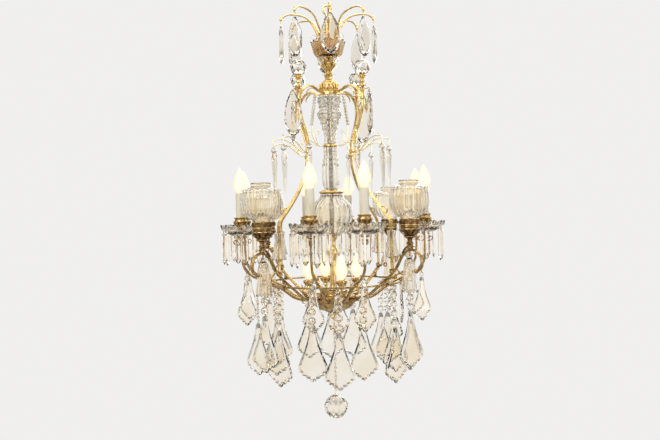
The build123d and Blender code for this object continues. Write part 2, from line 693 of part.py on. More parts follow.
# ---------------------------------------------------------------- lights
def globe_gallery():
    """Brass cup that holds the foot of a glass globe, on its own stem."""
    r = GALLERY_R
    body = faceted(stacked([(7, 0), (7, 0.22), (15, 0.3), (11, 0.38), (0.8 * r, 0.48), (r, 0.56), (r, 1)],
                           GALLERY_H, 0), SHADE_FLUTES)
    seat = Pos(0, 0, GALLERY_H - GALLERY_DEPTH / 2) * post(r - GALLERY_WALL, GALLERY_DEPTH, SHADE_FLUTES)
    return body - seat


def globe_shade():
    """Cut glass globe, open at the top, with a foot that sits in the gallery."""
    foot = GALLERY_R - GALLERY_WALL - BORE_GAP

    def wall(inset):
        r = SHADE_R - inset
        low = -GALLERY_DEPTH if inset == 0 else -GALLERY_DEPTH + 3
        lip = SHADE_H if inset == 0 else SHADE_H + 1
        mouth = SHADE_MOUTH_R - inset
        return faceted([(foot - inset, low), (foot - inset, 1), (0.82 * r, 0.2 * SHADE_H),
                        (r, 0.48 * SHADE_H), (0.84 * r, 0.78 * SHADE_H), (mouth, 0.9 * SHADE_H),
                        (mouth, lip)], SHADE_FLUTES)
    return wall(0) - wall(SHADE_WALL)


def bobeche():
    """Lobed glass dish with a flat underside to its rim, bored for the stud."""
    r = DISH_R
    outer = faceted([(14, 0), (0.74 * r, 0.3 * DISH_H), (0.84 * r, 0.58 * DISH_H)], LOBES)
    rim = fluted([(r, 0.58 * DISH_H), (r, DISH_H)], LOBES, 0.08)
    hollow = faceted([(0.3 * r, DISH_FLOOR), (0.7 * r, 0.3 * DISH_H + DISH_WALL + 2),
                      (0.92 * r - DISH_WALL, DISH_H)], LOBES)
    dish = outer + rim - hollow
    return bored(dish, STUD_R + BORE_GAP, 0, DISH_FLOOR)


def candle_cup():
    r = CANDLE_CUP_R
    low = CANDLE_FLANGE_Z + DISH_FLOOR
    height = CUP_TOP_Z - low
    cup = faceted(stacked([(0.5 * r, 0), (0.34 * r, 0.2), (0.55 * r, 0.42), (r, 0.7), (0.9 * r, 1)],
                          height, low), 8)
    return bored(cup, STUD_R + BORE_GAP, low, CANDLE_FLANGE_Z + STUD_H + 1)


def candle_sleeve():
    tube = post(SLEEVE_R, SLEEVE_H, 12) - post(SLEEVE_R - SLEEVE_WALL, SLEEVE_H, 12)
    return Pos(0, 0, SLEEVE_H / 2) * tube


def lampholder():
    socket = Pos(0, 0, HOLDER_H + 1 - LAMP_CAP_H / 2) * post(LAMP_CAP_R + CAP_GAP, LAMP_CAP_H - 2)
    return Pos(0, 0, HOLDER_H / 2) * post(HOLDER_R, HOLDER_H) - socket


def bulb(cap_height):
    """Candle lamp with its cap, standing on the bottom of the cap."""
    r = BULB_R
    cap = Pos(0, 0, cap_height / 2) * post(LAMP_CAP_R, cap_height)
    glass = faceted(stacked([(0.4 * r, 0), (0.86 * r, 0.18), (r, 0.36), (0.78 * r, 0.62),
                             (0.42 * r, 0.86), (0.1 * r, 1)], BULB_H, cap_height), 8)
    return cap + glass


def inner_cup():
    r = INNER_CUP_R
    cup = faceted(stacked([(0.5 * r, 0), (0.36 * r, 0.2), (0.9 * r, 0.66), (r, 1)], INNER_CUP_H, 0), 8)
    socket = Pos(0, 0, INNER_CUP_H + 1 - INNER_CAP_H / 2) * post(LAMP_CAP_R + CAP_GAP, INNER_CAP_H - 2)
    return cup - socket


# ---------------------------------------------------------------- crystals on the arms
def prism_ring():
    """Prisms and their buttons round one dish, below its rim."""
    pieces = []
    rim = 0.9 * DISH_R
    for i in range(PRISMS):
        hang = Rot(0, 0, 30 + 360 * i / PRISMS)
        z = CANDLE_FLANGE_Z + 0.58 * DISH_H
        pieces.append(hang * Pos(rim, 0, z) * octagon_bead(BUTTON, BUTTON / 2))
        pieces.append(hang * Pos(rim, 0, z - BUTTON) * prism())
    return pieces


def fluted_drop():
    """Bell-shaped fluted glass on the hook under the crest of a globe arm."""
    r = FLUTED_R
    profile = stacked([(r, -1), (0.7 * r, -0.6), (0.4 * r, -0.2), (0.3 * r, 0)], FLUTED_LENGTH, 0)
    return fluted(profile, 6, 0.12)


def string_with(count, end, size=OCTAGON):
    """A string of octagons with a larger crystal below it."""
    return string(count, size) + [Pos(0, 0, -count * size) * end]


def crystal_hoop():
    """Flat hoop under the arms, with eyes outside it and plain hooks inside it for the long drops."""
    ring = post(HOOP_R + HOOP_WIDTH / 2, HOOP_HEIGHT, HOOP_SIDES)
    ring -= post(HOOP_R - HOOP_WIDTH / 2, HOOP_HEIGHT, HOOP_SIDES)
    hoop = Pos(0, 0, HOOP_TOP - HOOP_HEIGHT / 2) * ring
    bar_z = HOOP_TOP - HOOP_HEIGHT + HOOK_BAR / 2
    outward = Pos(HOOP_R + HOOK_OUT / 2, 0, bar_z) * Box(HOOK_OUT + 3, HANG_EYE_THICK, HOOK_BAR)
    inward = Pos(HOOP_R - HOOK_IN / 2, 0, bar_z) * Box(HOOK_IN + 3, HANG_EYE_THICK, HOOK_BAR)
    eye = hang_eye(HANG_EYE_R + 1)
    step = 360 / LONG_DROPS
    for i in range(LONG_DROPS):
        hoop += at(i * step, outward)
        hoop += at(i * step, eye, OUTER_HOOK_R, LONG_EYE_Z)
        hoop += at((i + 0.5) * step, inward)
    return hoop


def ball_string():
    """String of octagons on its hinge loop, ending in an eye for the ball, turned a quarter."""
    eye = Rot(0, 0, 90) * hang_eye(HANG_EYE_R + 1)
    beads = Pos(0, 0, BALL_EYE_Z - LOOP_DROP) * group(string(BALL_BEADS, BALL_BEAD))
    return [Pos(0, 0, BALL_EYE_Z) * hang_loop(), beads, Pos(0, 0, BALL_LOWER_EYE_Z) * eye]


def faceted_ball():
    r = BALL_R
    shares = [(0.3, 2.0), (0.78, 1.7), (1.0, 1.15), (1.0, 0.85), (0.78, 0.3), (0.3, 0.0)]
    return faceted([(k * r, -LOOP_DROP - 2 * r + h * r) for k, h in reversed(shares)], 10)


# ---------------------------------------------------------------- write the nodes
write("hanging_eye", hanging_eye())
write("stem_rod", stem_rod())
write("crown_plate", crown_plate())
write("crown_cup", crown_cup())
write("crown_arms", around(CROWN_ARMS, 0, crown_arm()))
write("neck_ball", neck_ball())
write("upper_hub", upper_hub())
write("column_upper", column_upper())
write("column_collar", column_collar())
write("column_lower", column_lower())
write("centre_plate", centre_plate())
write("centre_vase", centre_vase())
write("stem_tube", stem_tube())
write("lower_hub", lower_hub())
write("bottom_nut", bottom_nut())
write("cage_ribs", around(RIBS, 45, cage_rib()))
write("finials", around(RIBS, 45, finial(), FINIAL_R, FINIAL_Z))
write("finial_balls", around(RIBS, 45, finial_ball(), FINIAL_R, FINIAL_Z + FINIAL_H))
write("branch_wires", [on_wires(branch_wire()), around(GARLANDS, 0, scroll_wire())])
write("icicles", on_wires(group(icicle()), WIRE_Z + WIRE_END, WIRE_REACH))
write("inner_arms", around(INNER_LIGHTS, INNER_ANGLE, inner_arm()))
write("inner_cups", around(INNER_LIGHTS, INNER_ANGLE, inner_cup(), INNER_R, INNER_CUP_Z))
write("inner_bulbs", around(INNER_LIGHTS, INNER_ANGLE, bulb(INNER_CAP_H), INNER_R,
                            INNER_CUP_Z + INNER_CUP_H + 2 - INNER_CAP_H))
write("globe_arms", around(RIBS, 45, globe_arm()))
write("globe_galleries", around(RIBS, 45, globe_gallery(), GLOBE_R, GLOBE_SEAT_Z))
write("globe_shades", around(RIBS, 45, globe_shade(), GLOBE_R, GLOBE_SEAT_Z + GALLERY_H))
write("fluted_bells", around(RIBS, 45, fluted_bell(), RIB_FOOT_R, BELL_TOP - BELL_LENGTH))
write("fluted_drops", around(RIBS, 45, fluted_drop(), FLUTED_AT, FLUTED_TOP))
write("bead_chains", around(GARLANDS, 0, group(garland())))
write("shoulder_drops", around(RIBS, 45, Rot(0, 0, SHOULDER_DROP_TURN)
                               * pear_drop(SHOULDER_DROP_WIDTH, SHOULDER_DROP_LENGTH),
                               SHOULDER_HOOK_R, SHOULDER_HOOK_Z))
write("crystal_hoop", crystal_hoop())

write("candle_arms", [at(a, candle_arm()) for a in CANDLES])
write("bobeches", [at(a, bobeche(), CANDLE_R, CANDLE_FLANGE_Z) for a in CANDLES])
write("candle_cups", [at(a, candle_cup(), CANDLE_R) for a in CANDLES])
write("candle_sleeves", [at(a, candle_sleeve(), CANDLE_R, CUP_TOP_Z) for a in CANDLES])
write("lampholders", [at(a, lampholder(), CANDLE_R, CUP_TOP_Z) for a in CANDLES])
write("candle_bulbs", [at(a, bulb(LAMP_CAP_H), CANDLE_R, CUP_TOP_Z + HOLDER_H + 2 - LAMP_CAP_H)
                       for a in CANDLES])
write("prisms", [at(a, group(prism_ring()), CANDLE_R) for a in CANDLES])
write("candle_plaques", [at(a, group(string_with(1, plaque(), SMALL_OCTAGON)), CANDLE_HOOK_R, CANDLE_HOOK_Z)
                         for a in CANDLES])

write("globe_plaques", around(RIBS, 45, group(string_with(2, big_plaque())), FLUTED_AT,
                              FLUTED_TOP - FLUTED_LENGTH))
write("side_plaques", around(RIBS, 0, plaque(), HOOP_R, HOOP_TOP - HOOP_HEIGHT))
write("inner_drops", around(LONG_DROPS, 180 / LONG_DROPS, group(string_with(LONG_BEADS, big_plaque())),
                            INNER_HOOK_R, HOOP_TOP - HOOP_HEIGHT))

write("ball_string", ball_string())
write("bottom_ball", Pos(0, 0, BALL_LOWER_EYE_Z) * group([Rot(0, 0, 90) * hang_loop(), faceted_ball()]))

for n, drop in enumerate(around(CROWN_ARMS, 0, group(crown_drop()), CROWN_REACH, CROWN_EYE_Z), 1):
    write(f"crown_drop_{n}", drop)

long_drop = group([hang_loop(), Pos(0, 0, -LOOP_DROP) * group(string_with(LONG_BEADS, big_plaque()))])
for n, drop in enumerate(around(LONG_DROPS, 0, long_drop, OUTER_HOOK_R, LONG_EYE_Z), 1):
    write(f"long_drop_{n}", drop)
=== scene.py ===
"""Looks of a crystal chandelier: smooth metal, cut glass and hanging crystals round its frame.

Pieces are shaped in millimetres over the level where the outer arms carry the candles, with +Z up,
and moved into the frame's metres when they are finished.  An angle of 0 degrees faces the viewer
and grows to the right.
"""
from math import atan2, cos, pi, radians, sin

import bmesh
import bpy
from mathutils import Matrix, Vector


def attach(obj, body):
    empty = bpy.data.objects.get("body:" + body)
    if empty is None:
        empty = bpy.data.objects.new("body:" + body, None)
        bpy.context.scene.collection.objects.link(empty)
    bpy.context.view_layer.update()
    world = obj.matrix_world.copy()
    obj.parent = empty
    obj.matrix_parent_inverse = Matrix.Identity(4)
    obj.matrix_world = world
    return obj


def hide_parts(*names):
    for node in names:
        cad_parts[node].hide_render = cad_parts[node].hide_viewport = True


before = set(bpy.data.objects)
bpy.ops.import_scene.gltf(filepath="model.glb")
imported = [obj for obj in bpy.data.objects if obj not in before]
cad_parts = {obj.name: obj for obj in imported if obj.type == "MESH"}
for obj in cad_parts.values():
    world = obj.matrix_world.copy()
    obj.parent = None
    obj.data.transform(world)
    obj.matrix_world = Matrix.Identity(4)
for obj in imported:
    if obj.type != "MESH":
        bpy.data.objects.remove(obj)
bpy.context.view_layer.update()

# ---------------------------------------------------------------- sizes, in millimetres
EYE_HEIGHT = 588.0          # hanging eye over the candle level
TO_FRAME = Matrix.Translation((0, 0, -EYE_HEIGHT / 1000)) @ Matrix.Scale(0.001, 4)
QUARTER_X, QUARTER_Y, QUARTER_Z = (Matrix.Rotation(pi / 2, 4, axis) for axis in "XYZ")

CROWN_ARMS, CROWN_REACH = 8, 130.0
CROWN_KNOB_Z, CROWN_PIN_Z, LOOP_DROP = 561.1, 552.0, 8.4
DROP_WIDTH, DROP_LENGTH, DROP_THICK = 52.0, 107.0, 12.0

RIBS = 4
RIB_LINE = [(24, 354.5), (42, 354.5), (66, 368), (103, 358), (123, 322), (112, 272), (90, 226), (88, 180),
        (97, 135), (122, 88), (164, 38), (202, 2), (207, -14), (207, -130)]
RIB_FOOT_R = 207.0
FINIAL_R, FINIAL_Z, FINIAL_H, FINIAL_BALL_R = 121.0, 352.0, 34.0, 22.5
SHOULDER_HOOK_R, SHOULDER_HOOK_Z, SHOULDER_TURN = 144.0, 346.0, 45.0
SHOULDER_WIDTH, SHOULDER_LENGTH = 46.0, 120.0

WIRE_RIB_R, WIRE_Z, WIRE_SPREAD = 88.0, 185.0, 45.0
WIRE_LINE = [(8, 0), (20, 0), (40, 20), (68, 38), (94, 34), (94, 14)]
ICICLE_BEAD, ICICLE_LENGTH, ICICLE_WIDTH = 16.0, 105.0, 14.0
SCROLL_LINE = [(20, 207.5), (32, 207.5), (44.8, 223.5), (50.8, 243.5), (50.8, 264.6)]
GARLAND_TOP_R, GARLAND_TOP_Z, GARLAND_BEADS, GARLAND_FLARE = 40.0, 349.0, 10, 1.2
BEAD, BEAD_PITCH = 8.0, 8.4

CANDLES = (15.0, 75.0, 105.0, 165.0, -165.0, -105.0, -75.0, -15.0)
CANDLE_R = 258.0
CANDLE_ARM_LINE = [(60, -220), (104, -220), (140, -190), (182, -164), (224, -152), (252, -128), (258, -90),
        (258, -42)]
DISH_LOBES, DISH_RIM_Z = 12, -20.3
PRISMS, PRISM_R, PRISM_WIDTH, PRISM_LENGTH, PRISM_THICK = 6, 48.6, 18.0, 84.0, 9.0
BUTTON = 10.0
SLEEVE_R, SLEEVE_WALL, SLEEVE_LOW, SLEEVE_TOP = 12.0, 1.4, 12.0, 78.0
LAMP_CAP_R, BULB_R, BULB_H = 6.9, 17.5, 70.0
CANDLE_LAMP_Z, INNER_LAMP_Z = 76.0, -163.0      # foot of each lamp's glass

GLOBE_R = 265.0
GLOBE_ARM_LINE = [(60, -220), (106, -220), (146, -188), (186, -160), (220, -132), (237, -98), (262, -77.5),
        (291, -85.5), (303, -107.5), (297, -131.5), (283, -135.5)]
FLUTED_AT, GLOBE_HOOK_Z = 262.0, -190.0
INNER_ANGLE, INNER_R = 15.0, 71.0
INNER_ARM_LINE = [(36, -203.5), (57, -203.5), (71, -195.5), (71, -186)]

HOOP_R, HOOP_TOP, HOOP_H, HOOP_WIDTH = 190.0, -170.0, 5.0, 6.0
OUTER_HOOK_R, INNER_HOOK_R, HOOP_HOOK_Z, LONG_PIN_Z = 212.0, 172.0, -175.0, -178.4
LONG_DROPS, LONG_BEADS = 8, 4
OCTAGON, OCTAGON_THICK, SMALL_OCTAGON = 24.0, 9.0, 14.0
BIG_WIDTH, BIG_LENGTH, BIG_THICK = 79.0, 145.0, 9.0
PLAQUE_WIDTH, PLAQUE_LENGTH, PLAQUE_THICK = 57.0, 120.0, 8.0
CANDLE_HOOK_R, CANDLE_HOOK_Z = 246.0, -146.0
BALL_PIN_Z, BALL_BEADS, BALL_BEAD, BALL_R = -280.6, 8, 23.2, 33.5
BALL_LOWER_PIN_Z = BALL_PIN_Z - LOOP_DROP - BALL_BEADS * BALL_BEAD - 4.6
LINK_WIRE, GIRDLE = 0.55, 1.6       # wire of the links, rim of the flat crystals

# how far each crystal has turned on its wire, in degrees, from facing outwards
CANDLE_PLAQUE_TURNS = (-8, -52, 44, 12, -14, -46, 56, 10)
GLOBE_PLAQUE_TURNS = (-14, 10, -12, 15)
LONG_TURNS = (4, -9, -58, 8, -5, -8, 62, 6)
INNER_TURNS = (-10, -42, 38, 14, -12, -40, 36, 12)

# how a line gets thinner towards its end
LEAF_TAPER, FULL_TAPER = (0.7, 1.2, 1.0, 0.7, 0.2), (0.8, 1.2, 1.0, 0.7, 0.2)
SCROLL_TAPER = (1.2, 1.1, 1.0, 0.9, 0.8, 0.7)

# studio, in the frame's metres
CAMERA_AT, CAMERA_LOOKS_AT = (-0.108, -1.96, -EYE_HEIGHT / 1000), (-0.0053, 0, -EYE_HEIGHT / 1000)
CAMERA_LEAN, LENS, SENSOR = -0.023, 38.24, 36.0      # radians, millimetres
FLOOR_R, FLOOR_Z, FLOOR_FADE = 3.0, -2.34, 1.3
STUDIO_BANDS = ((0.012, 1.3), (0.05, 1.3), (0.075, 0.15), (0.12, 0.14), (0.28, 0.84), (0.50, 0.95), (0.70, 0.74),
                (0.82, 0.24), (0.885, 0.28), (0.91, 2.0), (0.98, 2.0))      # height in the sky, brightness


# ---------------------------------------------------------------- places
def beside(out, height=0.0):
    """Place straight out from the axis, at a height."""
    return Matrix.Translation((out, 0, height))


def lifted(height):
    """Place straight above the origin."""
    return beside(0, height)


def about(degrees):
    """Turn about the upright axis."""
    return Matrix.Rotation(radians(degrees), 4, "Z")


def at(angle, radius=0.0, height=0.0, turn=0.0):
    """Place at an angle round the axis, with the piece turned on its own upright."""
    return about(angle - 90) @ beside(radius, height) @ about(turn)


def around(count, first, radius=0.0, height=0.0, turn=0.0):
    """Evenly spaced places round the axis."""
    return [at(first + 360 * i / count, radius, height, turn) for i in range(count)]


def on_ribs(radius=0.0, height=0.0, turn=0.0):
    """Places in line with the four ribs and globe arms."""
    return around(RIBS, 45, radius, height, turn)


def hooks(first, radius, height, turns):
    """Evenly spaced hooks, with the crystal on each turned its own way."""
    return [at(first + 360 * i / len(turns), radius, height, turn) for i, turn in enumerate(turns)]


def at_wires():
    """Places of the three wires on each rib."""
    return [at(45 + 360 * i / RIBS, WIRE_RIB_R, 0, turn)
            for i in range(RIBS) for turn in (-WIRE_SPREAD, 0, WIRE_SPREAD)]


def at_candles():
    """Places of the candles."""
    return [at(angle, CANDLE_R) for angle in CANDLES]


def at_inner_lights():
    """Places of the inner lights."""
    return around(4, INNER_ANGLE, INNER_R)


# ---------------------------------------------------------------- shapes
def mesh_of(shape):
    """Plain mesh of a shape that is used up."""
    mesh = bpy.data.meshes.new("stamp")
    shape.to_mesh(mesh)
    shape.free()
    return mesh


def copies(shape, places):
    """One shape with a copy at each place."""
    stamp = mesh_of(shape)
    whole = bmesh.new()
    for place in places:
        mesh = stamp.copy()
        mesh.transform(place)
        whole.from_mesh(mesh)
        bpy.data.meshes.remove(mesh)
    bpy.data.meshes.remove(stamp)
    return whole


def together(*shapes):
    """Several shapes as one."""
    whole = bmesh.new()
    for shape in shapes:
        mesh = mesh_of(shape)
        whole.from_mesh(mesh)
        bpy.data.meshes.remove(mesh)
    return whole


def moved(shape, place):
    """The shape itself, at a place."""
    bmesh.ops.transform(shape, matrix=place, verts=shape.verts)
    return shape


def shifted(shape, out, height=0.0):
    """The shape itself, moved out and up."""
    return moved(shape, beside(out, height))


def at_heights(shape, *heights):
    """Copies of a shape one over another."""
    return copies(shape, [lifted(height) for height in heights])


def closed(shape):
    """Doubles merged and faces turned outwards."""
    bmesh.ops.remove_doubles(shape, verts=shape.verts, dist=0.002)
    bmesh.ops.recalc_face_normals(shape, faces=shape.faces)
    return shape


def rounded(shape, crease):
    """Smooth shading, with the edges sharper than the crease kept crisp."""
    for face in shape.faces:
        face.smooth = True
    for edge in shape.edges:
        if len(edge.link_faces) == 2 and edge.calc_face_angle(0.0) > radians(crease):
            edge.smooth = False
    return shape


def curve_shape(points, fine, depth=0.0, width=0.0, sides=2, radii=None):
    """Shape of a smooth curve through (x, z) or (x, y, z) points, with a section where it has a depth."""
    curve = bpy.data.curves.new("line", "CURVE")
    curve.dimensions = "3D"
    curve.twist_mode = "Z_UP" if len(points[0]) == 2 else "MINIMUM"
    curve.resolution_u, curve.bevel_resolution = fine, sides
    curve.bevel_depth, curve.extrude = depth, width
    curve.use_fill_caps = depth > 0
    spline = curve.splines.new("NURBS")
    spline.points.add(len(points) - 1)
    for i, point in enumerate(points):
        flat = (point[0], point[1], 0) if len(point) == 2 else (point[0], point[2], -point[1])
        spline.points[i].co = (*flat, 1)
        spline.points[i].radius = radii[i] if radii else 1
    spline.order_u, spline.use_endpoint_u = 3, True
    holder = bpy.data.objects.new("line", curve)
    mesh = bpy.data.meshes.new_from_object(holder)
    bpy.data.objects.remove(holder)
    bpy.data.curves.remove(curve)
    shape = bmesh.new()
    shape.from_mesh(mesh)
    bpy.data.meshes.remove(mesh)
    return moved(shape, QUARTER_X)


def rod(points, radius, sides=2, fine=4, radii=None):
    """Round bar along a smooth line, with closed ends."""
    return rounded(closed(curve_shape(points, fine, radius, 0.0, sides, radii)), 50)


def band(points, width, thickness, fine=3, sides=1, radii=None):
    """Flat bar with rounded edges along a smooth line in the XZ plane; its width lies along Y."""
    edge = thickness / 2
    return rounded(closed(curve_shape(points, fine, edge, width / 2 - edge, sides, radii)), 50)


def spun(shape, steps):
    """Section turned once round the axis."""
    bmesh.ops.spin(shape, geom=shape.verts[:] + shape.edges[:], cent=(0, 0, 0), axis=(0, 0, 1), dvec=(0, 0, 0),
                   angle=2 * pi, steps=steps, use_merge=True, use_duplicate=False)
    return closed(shape)


def valley(vert, count):
    """Share of a vertex in the valleys between evenly spaced lobes: 0 on a lobe, 1 between two."""
    return 0.5 - 0.5 * cos(count * atan2(vert.co.y, vert.co.x))


def ramp(*slopes):
    """Share by height that grows from 0 at a start to 1 over a run; the least of several slopes."""
    return lambda z: max(0.0, min(1.0, *((z - start) / run for start, run in slopes)))


def fluted(shape, count, depth, weight=None):
    """Flutes round a turned shape, depth of the radius deep, or less of it by weight(height)."""
    for vert in shape.verts:
        share = depth * (weight(vert.co.z) if weight else 1)
        vert.co.xy = vert.co.xy * (1 - share * valley(vert, count))
    return shape


def turned(profile, steps=32, fine=3, lobes=0, depth=0.0, weight=None):
    """Turned shape from (radius, height) points, with flutes where it has lobes.

    A third number says how often a point counts: 2 makes a corner.
    """
    points = [point[:2] for point in profile for _ in range(point[2] if len(point) > 2 else 1)]
    shape = spun(curve_shape(points, fine), steps)
    ends = [edge for edge in shape.edges if edge.is_boundary]
    if ends:
        bmesh.ops.holes_fill(shape, edges=ends, sides=0)
        bmesh.ops.recalc_face_normals(shape, faces=shape.faces)
    if lobes:
        fluted(shape, lobes, depth, weight)
    return rounded(shape, 40)


def torus(radius, wire, steps=16, sides=6):
    """Ring of round wire lying flat."""
    shape = bmesh.new()
    bmesh.ops.create_circle(shape, segments=sides, radius=wire)
    return rounded(spun(moved(shape, beside(radius) @ QUARTER_X), steps), 80)


def eye(radius, wire, height, out=0.0, turn=QUARTER_Y):
    """Small wire ring standing up, with its middle at a height."""
    return moved(torus(radius, wire), beside(out, height) @ turn)


def ball(radius, rings=8, steps=12):
    """Smooth round ball."""
    shape = bmesh.new()
    bmesh.ops.create_uvsphere(shape, u_segments=steps, v_segments=rings, radius=radius)
    return rounded(shape, 80)


def cut(levels, squash=1.0):
    """Gem cut with flat facets: the hull of rings given as (radius, height, sides, turn)."""
    shape = bmesh.new()
    for radius, height, sides, turn in levels:
        ring = bmesh.ops.create_circle(shape, segments=sides, radius=radius)["verts"]
        place = lifted(height) @ Matrix.Diagonal((1, squash, 1, 1)) @ about(turn)
        bmesh.ops.transform(shape, matrix=place, verts=ring)
    bmesh.ops.delete(shape, geom=shape.edges[:], context="EDGES_FACES")
    hull = bmesh.ops.convex_hull(shape, input=shape.verts[:])
    spare = [v for v in hull["geom_interior"] + hull["geom_unused"] if isinstance(v, bmesh.types.BMVert)]
    bmesh.ops.delete(shape, geom=list(set(spare)), context="VERTS")
    bmesh.ops.dissolve_limit(shape, angle_limit=radians(1), verts=shape.verts, edges=shape.edges)
    bmesh.ops.recalc_face_normals(shape, faces=shape.faces)
    return shape


def humped(outline, depth):
    """Outline with a small hump out of every run."""
    out = []
    for (w, z), (next_w, next_z) in zip(outline, outline[1:] + outline[:1]):
        run = Vector((next_w - w, next_z - z))
        middle = Vector((w, z)) + run / 2 + Vector((-run.y, run.x)).normalized() * depth
        out += [(w, z), tuple(middle)]
    return out


def plate(shares, width, length, thickness, tables, hump=0.0):
    """Flat crystal facing along X: an outline whose rim is cut back in steps to a table on each face.

    The outline is the right half from top to bottom, as (share of half the width, share of the length).
    Each step is (share of the width, share of the height, share of the thickness).
    """
    half = [(w * width / 2, -z * length) for w, z in shares]
    outline = half + [(-w, z) for w, z in reversed(half) if w > 0.01]
    middle = sum(z for _, z in outline) / len(outline)
    if hump:
        outline = humped(outline, hump)
    shape = bmesh.new()
    front = shape.faces.new([shape.verts.new((-GIRDLE / 2, w, z)) for w, z in outline])
    twin = bmesh.ops.duplicate(shape, geom=[front])["geom"]
    back = next(item for item in twin if isinstance(item, bmesh.types.BMFace))
    bmesh.ops.translate(shape, vec=(GIRDLE, 0, 0), verts=back.verts[:])
    bmesh.ops.bridge_loops(shape, edges=front.edges[:] + back.edges[:])
    for face, side in ((front, -1), (back, 1)):
        last = (1.0, 1.0, 0.0)
        for wide, tall, thick in tables:
            bmesh.ops.inset_individual(shape, faces=[face], thickness=0.01)
            for vert in face.verts:
                vert.co.y *= wide / last[0]
                vert.co.z = middle + (vert.co.z - middle) * tall / last[1]
                vert.co.x += side * (thick - last[2]) * (thickness - GIRDLE) / 2
            last = (wide, tall, thick)
    bmesh.ops.recalc_face_normals(shape, faces=shape.faces)
    return shape


# ---------------------------------------------------------------- effects and materials
def give(socket, value):
    """Input linked to a result, or set to a value; a colour comes without its alpha."""
    if isinstance(value, bpy.types.NodeSocket):
        socket.id_data.links.new(value, socket)
    else:
        socket.default_value = (*value, 1) if socket.type == "RGBA" else value


def feed(node, **values):
    """Inputs of a node by their names."""
    for label, value in values.items():
        give(node.inputs[label.replace("_", " ")], value)
    return node


def add(tree, kind, *given, settings=(), **values):
    """New node with its settings made, and its inputs given in their order or by their names."""
    node = tree.nodes.new(kind)
    for key, value in dict(settings).items():
        setattr(node, key, value)
    for socket, value in zip(node.inputs, given):
        give(socket, value)
    return feed(node, **values)


def calculated(tree, operation, *given):
    """One sum on one or two values."""
    return add(tree, "ShaderNodeMath", *given, settings={"operation": operation}).outputs[0]


def spread(tree, value, low, high, out_low=0.0, out_high=1.0):
    """A value stretched from one range to another, and kept inside it."""
    smooth = {"interpolation_type": "SMOOTHSTEP"}
    return add(tree, "ShaderNodeMapRange", value, low, high, out_low, out_high, settings=smooth).outputs[0]


def blended(tree, mask, first, second):
    """Colour between two, by a mask."""
    node = add(tree, "ShaderNodeMix", mask, settings={"data_type": "RGBA"})
    give(node.inputs[6], first)
    give(node.inputs[7], second)
    return node.outputs[2]


def own_place(tree):
    """Coordinates of the object itself."""
    return add(tree, "ShaderNodeTexCoord").outputs["Object"]


def noise(tree, scale, detail, place=None, **values):
    """Noise on the object's own coordinates, or on a place worked out from them."""
    place = place or own_place(tree)
    return add(tree, "ShaderNodeTexNoise", Vector=place, Scale=scale, Detail=detail, **values).outputs[0]


def effect(name, colours, numbers):
    """Node group with named inputs that gives a colour, a roughness and a height; returns it and its inputs."""
    tree = bpy.data.node_groups.new(name, "ShaderNodeTree")
    for side, kind, labels in (("INPUT", "Color", colours), ("INPUT", "Float", numbers),
                               ("OUTPUT", "Color", ["Colour"]), ("OUTPUT", "Float", ["Roughness", "Height"])):
        for label in labels:
            tree.interface.new_socket(label, in_out=side, socket_type="NodeSocket" + kind)
    return tree, tree.nodes.new("NodeGroupInput").outputs


def giving(tree, colour, roughness, height):
    """The effect, with its results linked."""
    add(tree, "NodeGroupOutput", colour, roughness, height)
    return tree


def patina_effect():
    """Old metal: bright rubbed places, brown in patches, and a fine uneven cast skin."""
    tree, given = effect("patina", ["Bright", "Dark"], ["Patch Scale", "Wear"])
    patches = noise(tree, given["Patch Scale"], 6.0, Roughness=0.62)
    skin = noise(tree, 900.0, 3.0)
    mask = spread(tree, calculated(tree, "ADD", patches, given["Wear"]), 0.85, 1.2)
    rough = calculated(tree, "ADD", spread(tree, mask, 0, 1, 0.16, 0.42), spread(tree, skin, 0.3, 0.7, 0.0, 0.1))
    return giving(tree, blended(tree, mask, given["Bright"], given["Dark"]), rough, skin)


def glass_effect():
    """Hand-cut glass: a slow ripple in the polish, fine dust and drifting tint."""
    tree, given = effect("cut_glass", ["Clear", "Tint"], ["Ripple Scale"])
    mask = spread(tree, noise(tree, 14.0, 2.0), 0.35, 0.65)
    dust = spread(tree, noise(tree, 420.0, 4.0), 0.55, 0.8, 0.0, 0.12)
    return giving(tree, blended(tree, mask, given["Clear"], given["Tint"]), dust,
                  noise(tree, given["Ripple Scale"], 2.0))


def ageing_effect():
    """Painted or moulded sleeve: darker and drier in patches, with faint runs down it."""
    tree, given = effect("ageing", ["Clean", "Aged"], ["Speck Scale"])
    tall = add(tree, "ShaderNodeMapping", own_place(tree), Scale=(1, 1, 0.22)).outputs[0]
    runs = noise(tree, given["Speck Scale"], 5.0, tall)
    mask = spread(tree, runs, 0.42, 0.78)
    colour = blended(tree, mask, given["Clean"], given["Aged"])
    return giving(tree, colour, spread(tree, mask, 0, 1, 0.34, 0.6), runs)


FINISH = "_finish"           # what a material's name adds to the name it is given
PATINA = patina_effect()
CUT_GLASS = glass_effect()
AGEING = ageing_effect()


def new_material(name):
    """Material with its tree and its main shader."""
    material = bpy.data.materials.new(name)
    material.use_nodes = True
    return material, material.node_tree, material.node_tree.nodes["Principled BSDF"]


def finish_of(name, group, inputs, bump, distance=0.0004, **values):
    """Material whose colour, roughness and relief come from an effect, and the rest from its values."""
    material, tree, shader = new_material(name + FINISH)
    made = add(tree, "ShaderNodeGroup", settings={"node_tree": group}, **inputs).outputs
    relief = add(tree, "ShaderNodeBump", Height=made["Height"], Strength=bump, Distance=distance)
    feed(shader, Normal=relief.outputs[0], Base_Color=made["Colour"], Roughness=made["Roughness"], **values)
    return material


def metal(name, bright, dark, scale, wear):
    """Metal with a patina."""
    inputs = {"Bright": bright, "Dark": dark, "Patch_Scale": scale, "Wear": wear}
    return finish_of(name, PATINA, inputs, 0.25, Metallic=1.0)


